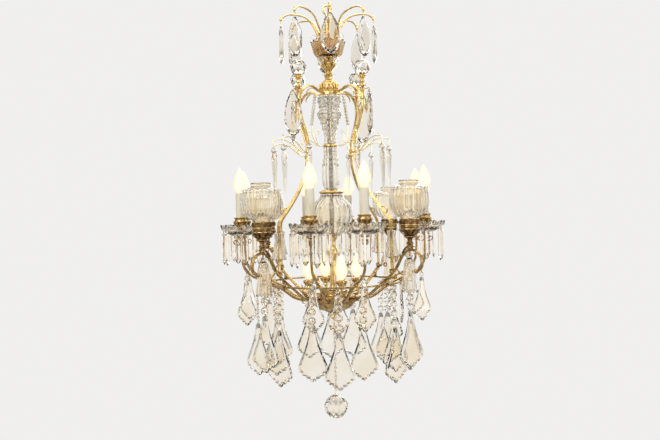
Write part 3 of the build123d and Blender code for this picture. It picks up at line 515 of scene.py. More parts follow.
def glass(name, clear, tint, ripple, bump, ior=1.52):
    """Clear glass, cut by hand."""
    inputs = {"Clear": clear, "Tint": tint, "Ripple_Scale": ripple}
    return finish_of(name, CUT_GLASS, inputs, bump, 0.0006, Transmission_Weight=1.0, IOR=ior)


def sleeve_finish(name, clean, aged, specks, bump, **values):
    """Aged coat of a candle sleeve or a lampholder."""
    return finish_of(name, AGEING, {"Clean": clean, "Aged": aged, "Speck_Scale": specks}, bump, **values)


def lit_glass():
    """Lamp glass that glows: hot in the body, a warmer skin at its edges, a little uneven."""
    material, tree, shader = new_material("lit_lamp" + FINISH)
    heart = blended(tree, spread(tree, noise(tree, 45.0, 1.0), 0.3, 0.7), (0.60, 0.52, 0.40), (0.60, 0.50, 0.35))
    skin = spread(tree, add(tree, "ShaderNodeLayerWeight", Blend=0.5).outputs["Facing"], 0.25, 0.9)
    feed(shader, Emission_Color=blended(tree, skin, heart, (0.50, 0.27, 0.075)), Emission_Strength=1.9,
         Base_Color=(0.24, 0.19, 0.13), Roughness=0.22)
    return material


GILT = metal("gilt_brass", (0.77, 0.565, 0.24), (0.40, 0.26, 0.095), 75.0, 0.45)
BRONZE = metal("dark_bronze", (0.50, 0.335, 0.13), (0.20, 0.12, 0.045), 130.0, 0.50)
GALLERY_BRONZE = metal("gallery_bronze", (0.36, 0.22, 0.085), (0.11, 0.065, 0.03), 150.0, 0.55)
WIRE_GILT = metal("wire_gilt", (0.86, 0.72, 0.44), (0.52, 0.37, 0.17), 90.0, 0.36)
STEEL = metal("steel_rod", (0.55, 0.53, 0.50), (0.28, 0.24, 0.2), 80.0, 0.45)
CRYSTAL = glass("crystal", (0.985, 0.965, 0.92), (0.95, 0.87, 0.73), 45.0, 0.10, 1.6)
CLEAR = glass("cut_glass", (0.975, 0.95, 0.89), (0.95, 0.88, 0.74), 60.0, 0.16)
DISH = glass("pressed_dish", (0.97, 0.94, 0.87), (0.93, 0.84, 0.68), 210.0, 0.55)
AMBER = glass("amber_cut_glass", (0.84, 0.64, 0.36), (0.62, 0.41, 0.18), 190.0, 0.6)
IVORY = sleeve_finish("candle_ivory", (0.90, 0.81, 0.63), (0.74, 0.61, 0.41), 70.0, 0.12, Subsurface_Weight=0.1)
MOULDED = sleeve_finish("lampholder_white", (0.80, 0.78, 0.72), (0.6, 0.54, 0.42), 160.0, 0.1)
LAMP = lit_glass()


def in_scene(name, data):
    """Object that shows some data."""
    obj = bpy.data.objects.new(name, data)
    bpy.context.scene.collection.objects.link(obj)
    return obj


def piece(name, shape, material, node=None, body="frame"):
    """Finished piece: in the frame's metres, riding a body, in place of its CAD node."""
    mesh = mesh_of(moved(shape, TO_FRAME))
    mesh.name = name
    mesh.materials.append(material)
    obj = in_scene(name, mesh)
    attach(obj, body)
    if node:
        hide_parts(node)


def keep(node, material):
    """A CAD node that stays gets its finish."""
    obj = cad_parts[node]
    if not obj.material_slots:
        obj.data.materials.append(material)
    for slot in obj.material_slots:
        slot.material = material


# ---------------------------------------------------------------- camera and light
def aimed(place, target):
    """Place of a lens or lamp that looks at a target."""
    turn = (Vector(target) - Vector(place)).to_track_quat("-Z", "Y")
    return Matrix.Translation(place) @ turn.to_matrix().to_4x4()


def make_camera():
    """Level lens at the height of the candles, leaning a little, as the photograph was taken."""
    data = bpy.data.cameras.new("camera")
    data.lens, data.sensor_width = LENS, SENSOR
    camera = in_scene("camera", data)
    camera.matrix_world = aimed(CAMERA_AT, CAMERA_LOOKS_AT) @ Matrix.Rotation(CAMERA_LEAN, 4, "Z")
    bpy.context.scene.camera = camera


def area_light(name, place, target, size, power, colour):
    """Soft lamp that glass lets no direct view of."""
    data = bpy.data.lights.new(name, "AREA")
    data.size, data.energy, data.color = size, power, colour
    lamp = in_scene(name, data)
    lamp.matrix_world = aimed(place, (0, 0, target))
    lamp.visible_transmission = False


def make_world():
    """Pale studio: seen plainly by the camera, brighter in bands for metal and glass, dim as a light."""
    world = bpy.data.worlds.new("studio")
    bpy.context.scene.world = world
    world.use_nodes = True
    tree = world.node_tree
    tree.nodes.clear()
    way = add(tree, "ShaderNodeTexCoord").outputs["Generated"]
    height = add(tree, "ShaderNodeSeparateXYZ", way).outputs["Z"]
    bands = add(tree, "ShaderNodeValToRGB", spread(tree, height, -1.0, 1.0))
    stops = bands.color_ramp.elements
    stops[0].color, stops[1].color = (0.30, 0.285, 0.27, 1), (0.60, 0.585, 0.57, 1)
    for position, level in STUDIO_BANDS:
        stops.new(position).color = (level, level * 0.985, level * 0.96, 1)
    sparks = add(tree, "ShaderNodeTexVoronoi", Vector=way, Scale=4.5).outputs["Distance"]
    spark = calculated(tree, "MULTIPLY", spread(tree, sparks, 0.13, 0.24, 1.0, 0.0),
                       spread(tree, calculated(tree, "ABSOLUTE", height), 0.3, 0.45))
    mirrored = blended(tree, spark, bands.outputs[0], (3.2, 2.9, 2.4))
    seen, dim, shown = (add(tree, "ShaderNodeBackground", colour, strength).outputs[0] for colour, strength in (
        (mirrored, 1.0), ((0.9, 0.9, 0.92), 0.35), ((0.87, 0.865, 0.855), 1.0)))
    rays = add(tree, "ShaderNodeLightPath").outputs
    sharp = calculated(tree, "MAXIMUM", rays["Is Glossy Ray"], rays["Is Transmission Ray"])
    unseen = add(tree, "ShaderNodeMixShader", sharp, dim, seen).outputs[0]
    result = add(tree, "ShaderNodeMixShader", rays["Is Camera Ray"], unseen, shown).outputs[0]
    add(tree, "ShaderNodeOutputWorld", result)


def make_floor():
    """Pale floor that fades into the backdrop."""
    shape = bmesh.new()
    bmesh.ops.create_circle(shape, cap_ends=True, segments=64, radius=FLOOR_R)
    floor = in_scene("studio_floor", mesh_of(moved(shape, lifted(FLOOR_Z))))
    material, tree, shader = new_material("studio_floor")
    shade = blended(tree, noise(tree, 3.0, 4.0), (0.78, 0.77, 0.755), (0.84, 0.83, 0.815))
    centred = add(tree, "ShaderNodeMapping", own_place(tree), Location=(0, 0, -FLOOR_Z)).outputs[0]
    reach = add(tree, "ShaderNodeVectorMath", centred, settings={"operation": "LENGTH"}).outputs["Value"]
    feed(shader, Base_Color=shade, Roughness=0.8, Alpha=spread(tree, reach, FLOOR_FADE, FLOOR_R - 0.1, 1.0, 0.0))
    floor.data.materials.append(material)


make_camera()
make_world()
make_floor()
area_light("key", (-1.6, -2.2, 0.9), -0.5, 2.2, 60, (1.0, 0.965, 0.91))
area_light("fill", (2.3, -1.5, -0.2), -0.6, 2.0, 24, (0.95, 0.97, 1.0))
area_light("top", (0.2, 0.3, 1.5), -0.6, 1.8, 26, (1, 1, 1))
area_light("rim", (0.9, 2.2, 0.3), -0.6, 1.8, 44, (1.0, 0.97, 0.93))
bpy.context.scene.view_settings.view_transform = "Standard"


# ---------------------------------------------------------------- metal
def leaf(points, width, radii=LEAF_TAPER, thickness=0.9):
    """Thin pointed leaf along a line, widest where its radii are."""
    return band(points, width, thickness, radii=radii)


def beaded(radius, height, bead, count):
    """Ring of small round beads."""
    return copies(ball(bead, 6, 8), around(count, 0, radius, height))


def hanging_eye():
    """Hanging ring on its turned shank."""
    ring = moved(torus(11.75, 2.75, 40, 12), lifted(EYE_HEIGHT) @ QUARTER_X)
    shank = turned([(0.5, 469), (11, 469, 2), (11, 473, 2), (8, 477), (6.6, 490), (6.2, 520), (6.4, 552),
            (9.6, 557), (10.2, 560), (9.6, 563), (6.4, 567), (6.2, 574), (6.2, 577.5)], 28)
    collars = at_heights(torus(7.4, 1.1, 24, 8), 480, 551)
    return together(ring, shank, collars)


def crown_arms():
    """Thin arms that arch over, each with a collar, a bright pin and a ring for its drop."""
    line = [(20, 463), (20, 478), (19, 500), (32, 528), (54, 568), (97, 577), (121, 573), (CROWN_REACH, 560.5)]
    arm = rod(line, 2.9, 3, 5, radii=[1.15, 1.1, 1.0, 1.0, 0.95, 0.88, 0.8, 0.75])
    knob = moved(ball(4.2, 8, 12), lifted(CROWN_KNOB_Z))
    pin = turned([(0, 0), (1.9, 0), (1.1, 3), (2.1, 5), (1.6, 7.2), (0, 8.2)], 10, 2)
    pin = moved(pin, lifted(CROWN_KNOB_Z + 3))
    end = shifted(together(knob, pin, eye(2.7, 0.95, CROWN_PIN_Z + 2.7)), CROWN_REACH)
    collar = shifted(at_heights(torus(3.0, 1.0, 14, 6), 0, 2.2), 20, 474)
    curl = leaf([(24, 500), (29, 512), (40, 519), (47, 513), (43, 507)], 5.5, [0.9, 1.1, 0.9, 0.6, 0.25])
    return copies(together(arm, end, collar, curl), around(CROWN_ARMS, 0))


def crown_plate():
    """Plate in the cup, with a beaded edge."""
    disc = turned([(0.5, 461), (24, 461), (27, 461.5), (27, 464), (27, 468.4), (24.5, 469), (0.5, 469)], 40)
    return together(disc, beaded(25.2, 468.4, 1.5, 40))


def neck():
    """Leafy turned neck under the cup."""
    body = turned([(0.5, 385), (15.5, 385, 2), (15.5, 389), (11, 391), (7.4, 397), (7, 402), (10.6, 406),
            (10.6, 411), (7.6, 415), (8.4, 419), (13.8, 425), (15.4, 432), (14.2, 439), (8.6, 444), (8.4, 448),
            (14.5, 451), (15.5, 455, 2), (0.5, 455)], 36)
    ball_flutes = turned([(7, 418.5), (14.6, 425), (16.0, 432), (14.8, 438.5), (7, 444.5)], 48, 3, 12, 0.1)
    low = leaf([(9, 389), (9.5, 399), (15, 408), (20, 407), (19.5, 403)], 9, [0.7, 1.2, 1.0, 0.6, 0.15])
    high = leaf([(8, 418), (15, 430), (20, 444), (27, 452), (29, 446)], 11, [0.7, 1.1, 1.15, 0.8, 0.15])
    middle = leaf([(8, 416), (15, 424), (22, 430), (25, 436), (23, 439)], 10, [0.7, 1.15, 1.1, 0.7, 0.15])
    leaves = together(copies(low, around(6, 30)), copies(middle, around(8, 0)), copies(high, around(8, 22.5)))
    return together(body, ball_flutes, leaves, beaded(10.9, 408.5, 1.4, 22), beaded(15.2, 386.6, 1.3, 34))


def upper_hub():
    """Ribbed bright drum over the band that the cage ribs spring from."""
    band_body = turned([(0.5, 347), (22.5, 347), (25.2, 348, 2), (24.2, 350.5), (24.2, 358.5), (25.6, 360),
            (25.6, 362, 2), (0.5, 362)], 40)
    drum = turned([(0.5, 361), (20, 361), (23.4, 364), (23.8, 370), (23.2, 379), (20, 384), (18, 385.5),
            (0.5, 385.5)], 64)
    beads = together(beaded(25.2, 361.5, 1.7, 40), beaded(24.4, 348.2, 1.4, 44))
    hook = rod([(22, 350.5), (36, 350.5), (41.2, 351.5), (43.2, 348.8), (40.6, 346.6), (38.8, 348.2)], 1.0, 2, 4)
    rib = rod([(22.6, 363.2), (25.4, 366.4), (25.6, 372), (25.2, 378), (20.8, 383.4)],
            3.0, 2, 6, [0.6, 0.95, 1.0, 0.95, 0.55])
    return together(band_body, drum, beads, copies(hook, around(4, 0)), copies(rib, around(16, 11.25)))


def column_collar():
    """Beaded collar between the two balusters."""
    body = turned([(0.5, 203), (16, 203), (20, 205, 2), (20, 210, 2), (16, 212), (0.5, 212)], 40)
    return together(body, beaded(20, 207.5, 1.5, 34))


def centre_plate():
    """Plate that carries the column over the vase."""
    body = turned([(0.5, 72), (28, 72), (34, 75.5), (34, 79.5), (28, 82), (22, 83.5), (20.5, 85), (0.5, 85)], 48)
    return together(body, beaded(33.2, 77.5, 1.7, 52))


def stem_tube():
    """Turned tube below the vase."""
    return turned([(0.5, -196), (13, -196), (13, -192), (9, -188), (8.6, -160), (9, -107), (14.6, -96), (15, -88),
            (14, -82), (9, -72), (8.8, -58), (14.8, -50), (15, -45), (0.5, -45)])


def lower_hub():
    """Gadrooned bowl that the arms spring from."""
    bowl = turned([(0.5, -258), (17, -258), (20, -255), (38, -250), (52, -240), (60, -229), (61, -225),
            (61.5, -220), (61, -214), (60, -211, 2), (40, -210), (37, -208), (37, -199), (36, -196), (0.5, -196)],
            96, 3, 24, 0.035, ramp((-229, -12)))
    return together(bowl, beaded(61, -227.5, 1.8, 84), beaded(61, -212.5, 1.6, 92), beaded(37.2, -197.5, 1.4, 60))


def bottom_nut():
    """Nut under the bowl, with the ring for the middle string."""
    nut = turned([(0.5, -258), (14, -258), (14, -261), (10.5, -264), (13.6, -269), (12, -273), (6, -276),
            (4, -277.6), (0.5, -278)], 24)
    return together(nut, eye(3.0, 1.0, -278.0))


def cage_ribs():
    """Ribs of flat bar with a round bead along the outside, and the seats that they carry."""
    start = [(20, 354.5)]
    flat = band(start + RIB_LINE, 9.6, 3.6, 7, 2)
    bead = rod([(x + (2.2 if z < 350 else 0), z + (1.6 if z > 350 else 0)) for x, z in start + RIB_LINE], 3.1, 2, 7)
    seat = shifted(turned([(0, 322), (6.2, 322), (7, 326), (5, 331), (5, 342), (7.4, 347), (7.4, 352), (0, 352)],
            20, 2), FINIAL_R)
    collar = turned([(0, 180.5), (7.2, 181), (8.4, 183), (8.4, 187), (7.2, 189), (0, 189.5)], 20, 2)
    collar = shifted(together(collar, beaded(8.2, WIRE_Z, 1.1, 16)), WIRE_RIB_R)
    hook = rod([(123, 348.5), (134, 349.5), (143, 350), (146.5, 348), (144.5, 345.4), (142.4, 346.6)], 1.1, 2, 4)
    ledge = shifted(turned([(0, -104), (9, -104), (9.6, -102), (9, -100), (0, -100)], 24, 2), RIB_FOOT_R)
    outer = leaf([(127, 330), (133, 316), (131, 296), (138, 282), (143, 284)], 7, FULL_TAPER)
    inner = leaf([(52, 358), (66, 363), (84, 356), (92, 344), (88, 338)], 6.5, FULL_TAPER)
    scroll = rod([(171, 33), (186, 34), (196, 26), (193, 15), (184, 16), (184, 22)],
            1.7, 2, 5, radii=[1.1, 1.1, 1.0, 0.9, 0.8, 0.7])
    return copies(together(flat, bead, seat, collar, hook, ledge, outer, inner, scroll), on_ribs())


def finials():
    """Bright balusters of stacked discs that carry the glass balls."""
    body = turned([(0, 0), (7, 0, 2), (6, 2), (4, 4.2), (4.6, 6), (10, 6.6), (10.6, 8.2), (10, 9.6), (4.6, 10.4),
            (4, 13.4), (5.8, 17), (6.6, 20.4), (4.2, 24), (3.8, 26), (8.4, 27.4), (9, 28.8), (5.6, 30),
            (7.2, 31.6), (11, 33.2), (11, 34.6, 2), (0, 34.6)], 24, 2)
    return copies(together(body, beaded(11, 33.6, 1.0, 22)), on_ribs(FINIAL_R, FINIAL_Z))


def starred_pin():
    """Small star-headed pin that dresses a wire."""
    head = moved(cut([(3.8, 0, 5, 0), (1.2, 1.6, 5, 36), (1.2, -1.6, 5, 36)]), QUARTER_Y)
    stem = rod([(0, -11), (0.3, -6), (0, 0)], 0.55, 1, 2)
    return moved(together(head, stem), lifted(11))


def branch_wires():
    """Three wires from each rib, with a curl, a star pin and the hook for its crystal, and the scroll wires."""
    line = [(x, z + WIRE_Z) for x, z in WIRE_LINE]
    wire = rod(line[:-1] + [(95.4, 214), (94, 204), (91.6, 199.4), (90.2, 202.4)], 1.35, 2, 6)
    twin = rod([(8, 183.6), (20, 187), (33, 198), (30, 208), (22, 206), (24, 199)], 1.1, 2, 5)
    pin = shifted(starred_pin(), 68, 221)
    knot = shifted(at_heights(torus(1.7, 0.7, 10, 6), 0, 1.6), 38, 204)
    fan = copies(together(wire, twin, pin, knot), at_wires())
    scroll = rod(SCROLL_LINE, 1.35, 2, 6)
    curl = rod([(26, 207), (38, 208), (50, 222), (62, 226), (68, 217), (62, 211), (57.5, 216)], 1.15, 2, 5)
    loop = rod([(33, 208), (41, 234), (40, 248), (32, 252), (29.5, 245), (34, 241)], 1.1, 2, 5)
    tip = shifted(ball(2.1, 6, 10), 58.5, 217)
    return together(fan, copies(together(scroll, curl, loop, tip), around(4, 0)))


def acanthus(points, width):
    """Leaf of three blades over an arm."""
    middle = leaf(points, width, [0.7, 1.2, 1.1, 0.7, 0.2], 1.2)
    blades = [middle]
    for side in (-1, 1):
        bent = [(x, side * k * width * 0.42, z - 0.9 * k) for k, (x, z) in enumerate(points[:4])]
        blades.append(rod(bent, 1.25, 1, 3, radii=[1.1, 1.0, 0.7, 0.3]))
    return together(*blades)


def globe_arms():
    """Scroll arms of ribbed bar, with leaves, boss and a rolled end."""
    flat = band(GLOBE_ARM_LINE, 12.6, 3.6, 7, 2)
    ridge = rod(GLOBE_ARM_LINE, 3.3, 2, 7, radii=[1.1] * 7 + [1.0, 0.95, 0.9, 0.85])
    roll = moved(ball(6.0, 8, 14), Matrix.Translation((283, 0, -134.5)) @ Matrix.Diagonal((1, 1.25, 1, 1)))
    seat = shifted(turned([(0, -78), (8, -78), (8.4, -75), (6, -72.5), (8.4, -69.4), (8.4, -66), (0, -66)],
            24, 2), GLOBE_R)
    foot = shifted(turned([(0, -142), (8, -142), (8.6, -139), (7, -136), (8.4, -132), (8, -130), (0, -130)],
            24, 2), RIB_FOOT_R)
    post = shifted(turned([(0, -156), (6, -156), (4, -160), (4, -166), (6, -170), (0, -170)], 16, 2), HOOP_R)
    hook = rod([(262, -80), (262, -88), (263.4, -92.5), (262, -95.4), (260.4, -93.4)], 1.1, 2, 4)
    crest = acanthus([(240, -90), (251, -73), (268, -69), (282, -76), (289, -70)], 11)
    hub_leaf = acanthus([(62, -215), (84, -212), (104, -209), (120, -197), (125, -186)], 11)
    spur = rod([(222, -130), (231, -142), (243, -146), (248, -139), (243, -133), (238, -137)],
            1.9, 2, 5, radii=SCROLL_TAPER)
    return copies(together(flat, ridge, roll, seat, foot, post, hook, crest, hub_leaf, spur), on_ribs())


def globe_galleries():
    """Dark turned cups with rings, a pierced rim and a bright bead."""
    body = turned([(0, -66), (7, -66), (9.5, -64.6), (9.5, -62.4), (6.2, -60), (6, -54), (9, -50.4), (15, -48.6),
            (15.6, -46.4), (13, -44.4), (11, -41.4), (12.6, -38.6), (19.2, -35), (23, -31), (24, -27.6, 2),
            (23.2, -25.4), (24, -23), (24, -20), (23.2, -18), (24.3, -15.4), (24.3, -2), (25, -0.8), (24.4, 0, 2),
            (22.2, 0, 2), (22.2, -9.7, 2), (0, -9.7)], 48, 3)
    ribs = copies(rod([(24.2, -14.6), (25.4, -9), (24.3, -2.6)], 0.9, 1, 2), around(36, 0))
    skirt = leaf([(13, -44), (19, -39), (25, -33), (27, -27), (25.5, -24)], 8, [0.8, 1.2, 1.0, 0.6, 0.2])
    return copies(together(body, ribs, copies(skirt, around(10, 0))), on_ribs(GLOBE_R))


def gallery_rings():
    """Bright rings round the galleries."""
    rings = at_heights(torus(24.0, 1.1, 48, 8), -27.4, -16.2, -1.4)
    return copies(together(rings, beaded(15.4, -46.4, 1.1, 30)), on_ribs(GLOBE_R))


def candle_arms():
    """Slender arms with a leaf at the bend, a small scroll and a flanged stud."""
    arm = rod(CANDLE_ARM_LINE, 3.6, 3, 6, radii=[1.3, 1.2, 1.05, 1.0, 0.95, 0.9, 0.85, 0.85])
    flange = turned([(0, -46), (4, -46), (6, -44.4), (11, -43.4), (11.4, -41.4), (10.6, -40), (0, -40)], 28, 2)
    neck_ring = at_heights(torus(4.2, 1.2, 16, 6), -58, -61)
    stud = turned([(0, -42), (3.9, -42), (3.9, -17), (0, -16)], 12, 2)
    top = shifted(together(flange, neck_ring, stud), CANDLE_R)
    post = shifted(turned([(0, -162), (5.6, -162), (4, -165), (4, -167), (6, -170), (0, -170)], 16, 2), HOOP_R)
    hook = rod([(246, -132), (246, -141), (247.4, -146.2), (246, -148.4), (244.6, -146.6)], 1.0, 2, 4)
    under = rod([(228, -149), (243, -131), (254, -112), (250, -100), (242, -103), (245, -109)],
            1.6, 2, 5, radii=SCROLL_TAPER)
    leaf_low = leaf([(96, -217), (120, -205), (142, -186), (150, -172), (145, -166)], 8)
    leaf_top = leaf([(258.5, -66), (262.5, -58), (269, -50), (275, -48), (277, -52)], 7)
    brace = [rod([(258, -60), (258 + 14 * k, -64), (258 + 22 * k, -54), (258 + 16 * k, -48), (258 + 11 * k, -53)],
            1.1, 2, 4) for k in (-1, 1)]
    whole = together(arm, top, post, hook, under, leaf_low, leaf_top, *brace)
    return copies(whole, [at(angle) for angle in CANDLES])


def candle_cups():
    """Turned cups with a collar of leaves that carry the sleeves."""
    body = turned([(4.3, -28), (9, -28, 2), (9.4, -25.6), (6.4, -21), (6.2, -18), (9.2, -13.6), (12, -8),
            (17, -2), (17.8, 1.5), (15.4, 4), (15.4, 8), (17, 10), (16.6, 12, 2), (12.4, 12, 2), (12.4, 6),
            (0, 6), (0, 0), (0, -16), (4.3, -17)], 36)
    petal = leaf([(7, -19), (12, -12), (17.5, -5), (20.4, 1), (18.6, 4)], 7.5, [0.7, 1.2, 1.1, 0.8, 0.2])
    whole = together(body, copies(petal, around(8, 0)), beaded(16.8, 10.4, 1.1, 34))
    return copies(whole, at_candles())


def inner_arms():
    """Short arms of the inner lights."""
    arm = rod(INNER_ARM_LINE, 2.9, 2, 5)
    boss = shifted(turned([(0, -190), (4.6, -190), (5.4, -188), (3.6, -186), (0, -186)], 16, 2), INNER_R)
    return copies(together(arm, boss), around(4, INNER_ANGLE))


def inner_cups():
    """Leafy cups of the inner lights."""
    body = turned([(0, -186), (7.5, -186, 2), (5.2, -182), (5.6, -179), (12, -174), (14.6, -170), (15, -165, 2),
            (13.8, -165, 2), (11, -171), (0, -176)])
    petal = leaf([(6, -181), (11, -176.5), (15.6, -171), (16.6, -166), (15.4, -164)],
            6, [0.7, 1.2, 1.1, 0.7, 0.2])
    return copies(together(body, copies(petal, around(8, 0))), at_inner_lights())


def crystal_hoop():
    """Hoop of flat bar under the arms, with rings outside it and hooks inside it."""
    section = bmesh.new()
    bmesh.ops.create_grid(section, x_segments=1, y_segments=1, size=1)
    flat = Matrix.Diagonal((HOOP_WIDTH / 2, HOOP_H / 2, 1, 1))
    moved(section, beside(HOOP_R, HOOP_TOP - HOOP_H / 2) @ QUARTER_X @ flat)
    bmesh.ops.bevel(section, geom=section.verts[:], offset=0.9, segments=2, profile=0.5, affect="VERTICES",
                    material=-1)
    bmesh.ops.delete(section, geom=section.faces[:], context="FACES_ONLY")
    ring = rounded(spun(section, 96), 60)
    beads = beaded(HOOP_R + HOOP_WIDTH / 2, HOOP_TOP - 1.3, 1.2, 240)
    out = rod([(HOOP_R, -173.2), (204, -173.4), (OUTER_HOOK_R, -173.8)], 1.5, 2, 3)
    out = together(out, eye(2.9, 0.9, LONG_PIN_Z + 2.9, OUTER_HOOK_R))
    inside = rod([(HOOP_R, -173.2), (178, -173.6), (INNER_HOOK_R, -173.4), (169.6, -175.4), (171.6, -177.2),
                  (173.4, -176)], 1.2, 2, 3)
    return together(ring, beads, copies(out, around(LONG_DROPS, 0)), copies(inside, around(LONG_DROPS, 22.5)))


piece("hanging_ring", hanging_eye(), GILT, "hanging_eye")
piece("arched_crown_arms", crown_arms(), GILT, "crown_arms")
piece("crown_plate_beaded", crown_plate(), GILT, "crown_plate")
piece("leafy_neck", neck(), GILT, "neck_ball")
piece("ribbed_drum", upper_hub(), GILT, "upper_hub")
piece("collar_beaded", column_collar(), GILT, "column_collar")
piece("vase_plate", centre_plate(), GILT, "centre_plate")
piece("stem_baluster", stem_tube(), GILT, "stem_tube")
piece("hub_bowl", lower_hub(), BRONZE, "lower_hub")
piece("nut_and_ring", bottom_nut(), GILT, "bottom_nut")
piece("shoulder_ribs", cage_ribs(), GILT, "cage_ribs")
piece("shoulder_finials", finials(), GILT, "finials")
piece("dressing_wires", branch_wires(), WIRE_GILT, "branch_wires")
piece("scrolled_globe_arms", globe_arms(), BRONZE, "globe_arms")
piece("ringed_galleries", globe_galleries(), GALLERY_BRONZE, "globe_galleries")
piece("gallery_rings", gallery_rings(), GILT)
piece("slender_candle_arms", candle_arms(), BRONZE, "candle_arms")
piece("leafy_candle_cups", candle_cups(), BRONZE, "candle_cups")
piece("inner_light_arms", inner_arms(), GILT, "inner_arms")
piece("inner_light_cups", inner_cups(), GILT, "inner_cups")
piece("beaded_hoop", crystal_hoop(), BRONZE, "crystal_hoop")
keep("stem_rod", STEEL)


# ---------------------------------------------------------------- cut glass
def scalloped(shape, count, edge, depth):
    """Rim past a height, drawn back between its lobes: a rim below the height has a depth under 0."""
    side = 1 if depth > 0 else -1
    for vert in shape.verts:
        past = max(0.0, min(abs(depth), side * (vert.co.z - edge)))
        vert.co.z -= side * past * valley(vert, count)
    return shape


def crossed(shape, count, low, high, depth, pitch):
    """Crossed cuts that leave small diamonds between two heights."""
    inside = ramp((low, 4), (high, -4))
    for vert in shape.verts:
        angle, rise = count * atan2(vert.co.y, vert.co.x), 2 * pi * vert.co.z / pitch
        cuts = 0.5 - 0.25 * cos(angle + rise) - 0.25 * cos(angle - rise)
        vert.co.xy = vert.co.xy * (1 - depth * inside(vert.co.z) * cuts)
    return shape


def column_upper():
    """Heavy baluster cut in tall flutes, with bands of diamonds below and above its shoulder."""
    body = turned([(0.5, 212), (16, 212), (17, 214), (16, 220), (16.4, 227), (20, 248), (26, 270), (31.5, 285),
            (35, 293, 2), (35, 299, 2), (29, 304), (29.5, 312), (33, 326), (35, 337), (33, 343), (28, 347, 2),
            (0.5, 347)], 96, 8, 16, 0.05)
    return crossed(crossed(body, 16, 226, 288, 0.11, 15), 16, 306, 342, 0.11, 15)


def column_lower():
    """Fluted lower baluster with a band of diamonds."""
    body = turned([(0.5, 85), (18, 85, 2), (22, 92), (24.5, 108), (25, 140), (23.5, 160), (18.5, 185), (18, 190),
            (20.5, 196), (19, 203, 2), (0.5, 203)], 96, 8, 12, 0.09)
    return crossed(body, 12, 150, 186, 0.12, 14)


def centre_vase():
    """Blown and cut vase, hollow, with the rod through it."""
    outer = [(6, -45), (21, -45, 2), (33, -38), (46, -26), (58, 0), (60.2, 14), (58, 34), (50, 48), (38, 58),
            (33, 64), (31.4, 72, 2), (6, 72, 2)]
    inner = [(6, 68, 2), (27.5, 68), (29, 62), (35, 54), (46, 45), (54, 32), (56, 14), (54, 0), (42, -24),
            (30, -35), (18, -41), (6, -41, 2), (6, -45)]
    return turned(outer + inner, 120, 3, 20, 0.06)


def crown_cup():
    """Thick amber dish with a lobed, turned-out rim."""
    outer = [(6, 455), (31, 455, 2), (37, 459), (41, 466), (44, 480), (48.5, 495), (50, 500), (46, 500.5)]
    inner = [(42, 492), (38, 476), (36, 467), (28.5, 461), (6, 461, 2), (6, 455)]
    return scalloped(fluted(turned(outer + inner, 144, 3, 12, 0.09), 36, 0.035), 12, 486, 6)


def globe_shades():
    """Barrel-shaped cut globes: flutes up the body, a knobbed shoulder and a plain mouth."""
    outer = [(21, -9.7), (21, 0), (23, 3), (33, 7), (43, 14), (49.5, 26), (51.5, 44), (51, 62), (48.6, 75),
            (45, 80), (36, 83), (27, 86), (25.2, 90), (26, 96.5), (24.6, 97.2)]
    inner = [(23.2, 96), (22.6, 89), (25, 83.5), (35, 80), (43, 77), (46, 73), (48.4, 61), (49, 44), (47, 27),
            (41, 16.5), (32, 10), (21, 5), (18.4, 1), (18.4, -9.7, 2), (21, -9.7)]
    body = turned(outer + inner, 144, 2, 24, 0.055, ramp((2, 12), (88, -8)))
    knobs = copies(moved(ball(3.0, 6, 8), Matrix.Diagonal((0.7, 1, 1, 1))), around(24, 7.5, 47.4, 77.5))
    return copies(together(body, knobs), on_ribs(GLOBE_R))


def fluted_bells():
    """Glass bells that the feet of the ribs pass through."""
    outer = [(8, -30), (11, -30), (12.4, -33), (11.4, -38), (11.6, -52), (14, -74), (18, -90), (20.4, -98),
            (19.6, -100)]
    inner = [(17.6, -98), (15, -88), (11.4, -72), (8.6, -52), (8, -38), (8, -30)]
    return copies(turned(outer + inner, 72, 3, 12, 0.11), on_ribs(RIB_FOOT_R))


def fluted_drops():
    """Reeded glass tulips inside the scrolls, scalloped at the bottom."""
    outer = [(0.4, -95.5), (3, -95.5), (4.6, -98), (4.2, -101), (10, -105), (14.6, -114), (16.6, -132),
            (18.4, -156), (20.6, -178), (21.4, -187), (20, -190)]
    inner = [(18.2, -187), (17.2, -176), (15, -154), (13, -132), (10.6, -116), (6, -109), (0.4, -108)]
    tulip = turned(outer + inner, 84, 3, 14, 0.12, ramp((-101, -8)))
    return copies(scalloped(tulip, 14, -180, -5.0), on_ribs(FLUTED_AT))


def bobeches():
    """Thick dishes with twelve petals, ribbed below, that catch the wax and carry the prisms."""
    outer = [(4.6, -40), (13, -40), (15, -38.5), (26, -36), (38, -31), (44, -24.5), (47, -21.5), (53, -19),
            (54.4, -12), (55, -7), (53.4, -6)]
    inner = [(51, -9), (48, -14), (43, -19), (36, -25), (26, -28), (4.6, -28, 2), (4.6, -40)]
    dish = turned(outer + inner, 144, 3, DISH_LOBES, 0.12, ramp((-34, 20)))
    dish = scalloped(fluted(dish, 48, 0.022), DISH_LOBES, -16, 6)
    pearls = copies(ball(1.7, 5, 6), around(DISH_LOBES, 0, 50.4, -8.6))
    return copies(together(dish, pearls), at_candles())


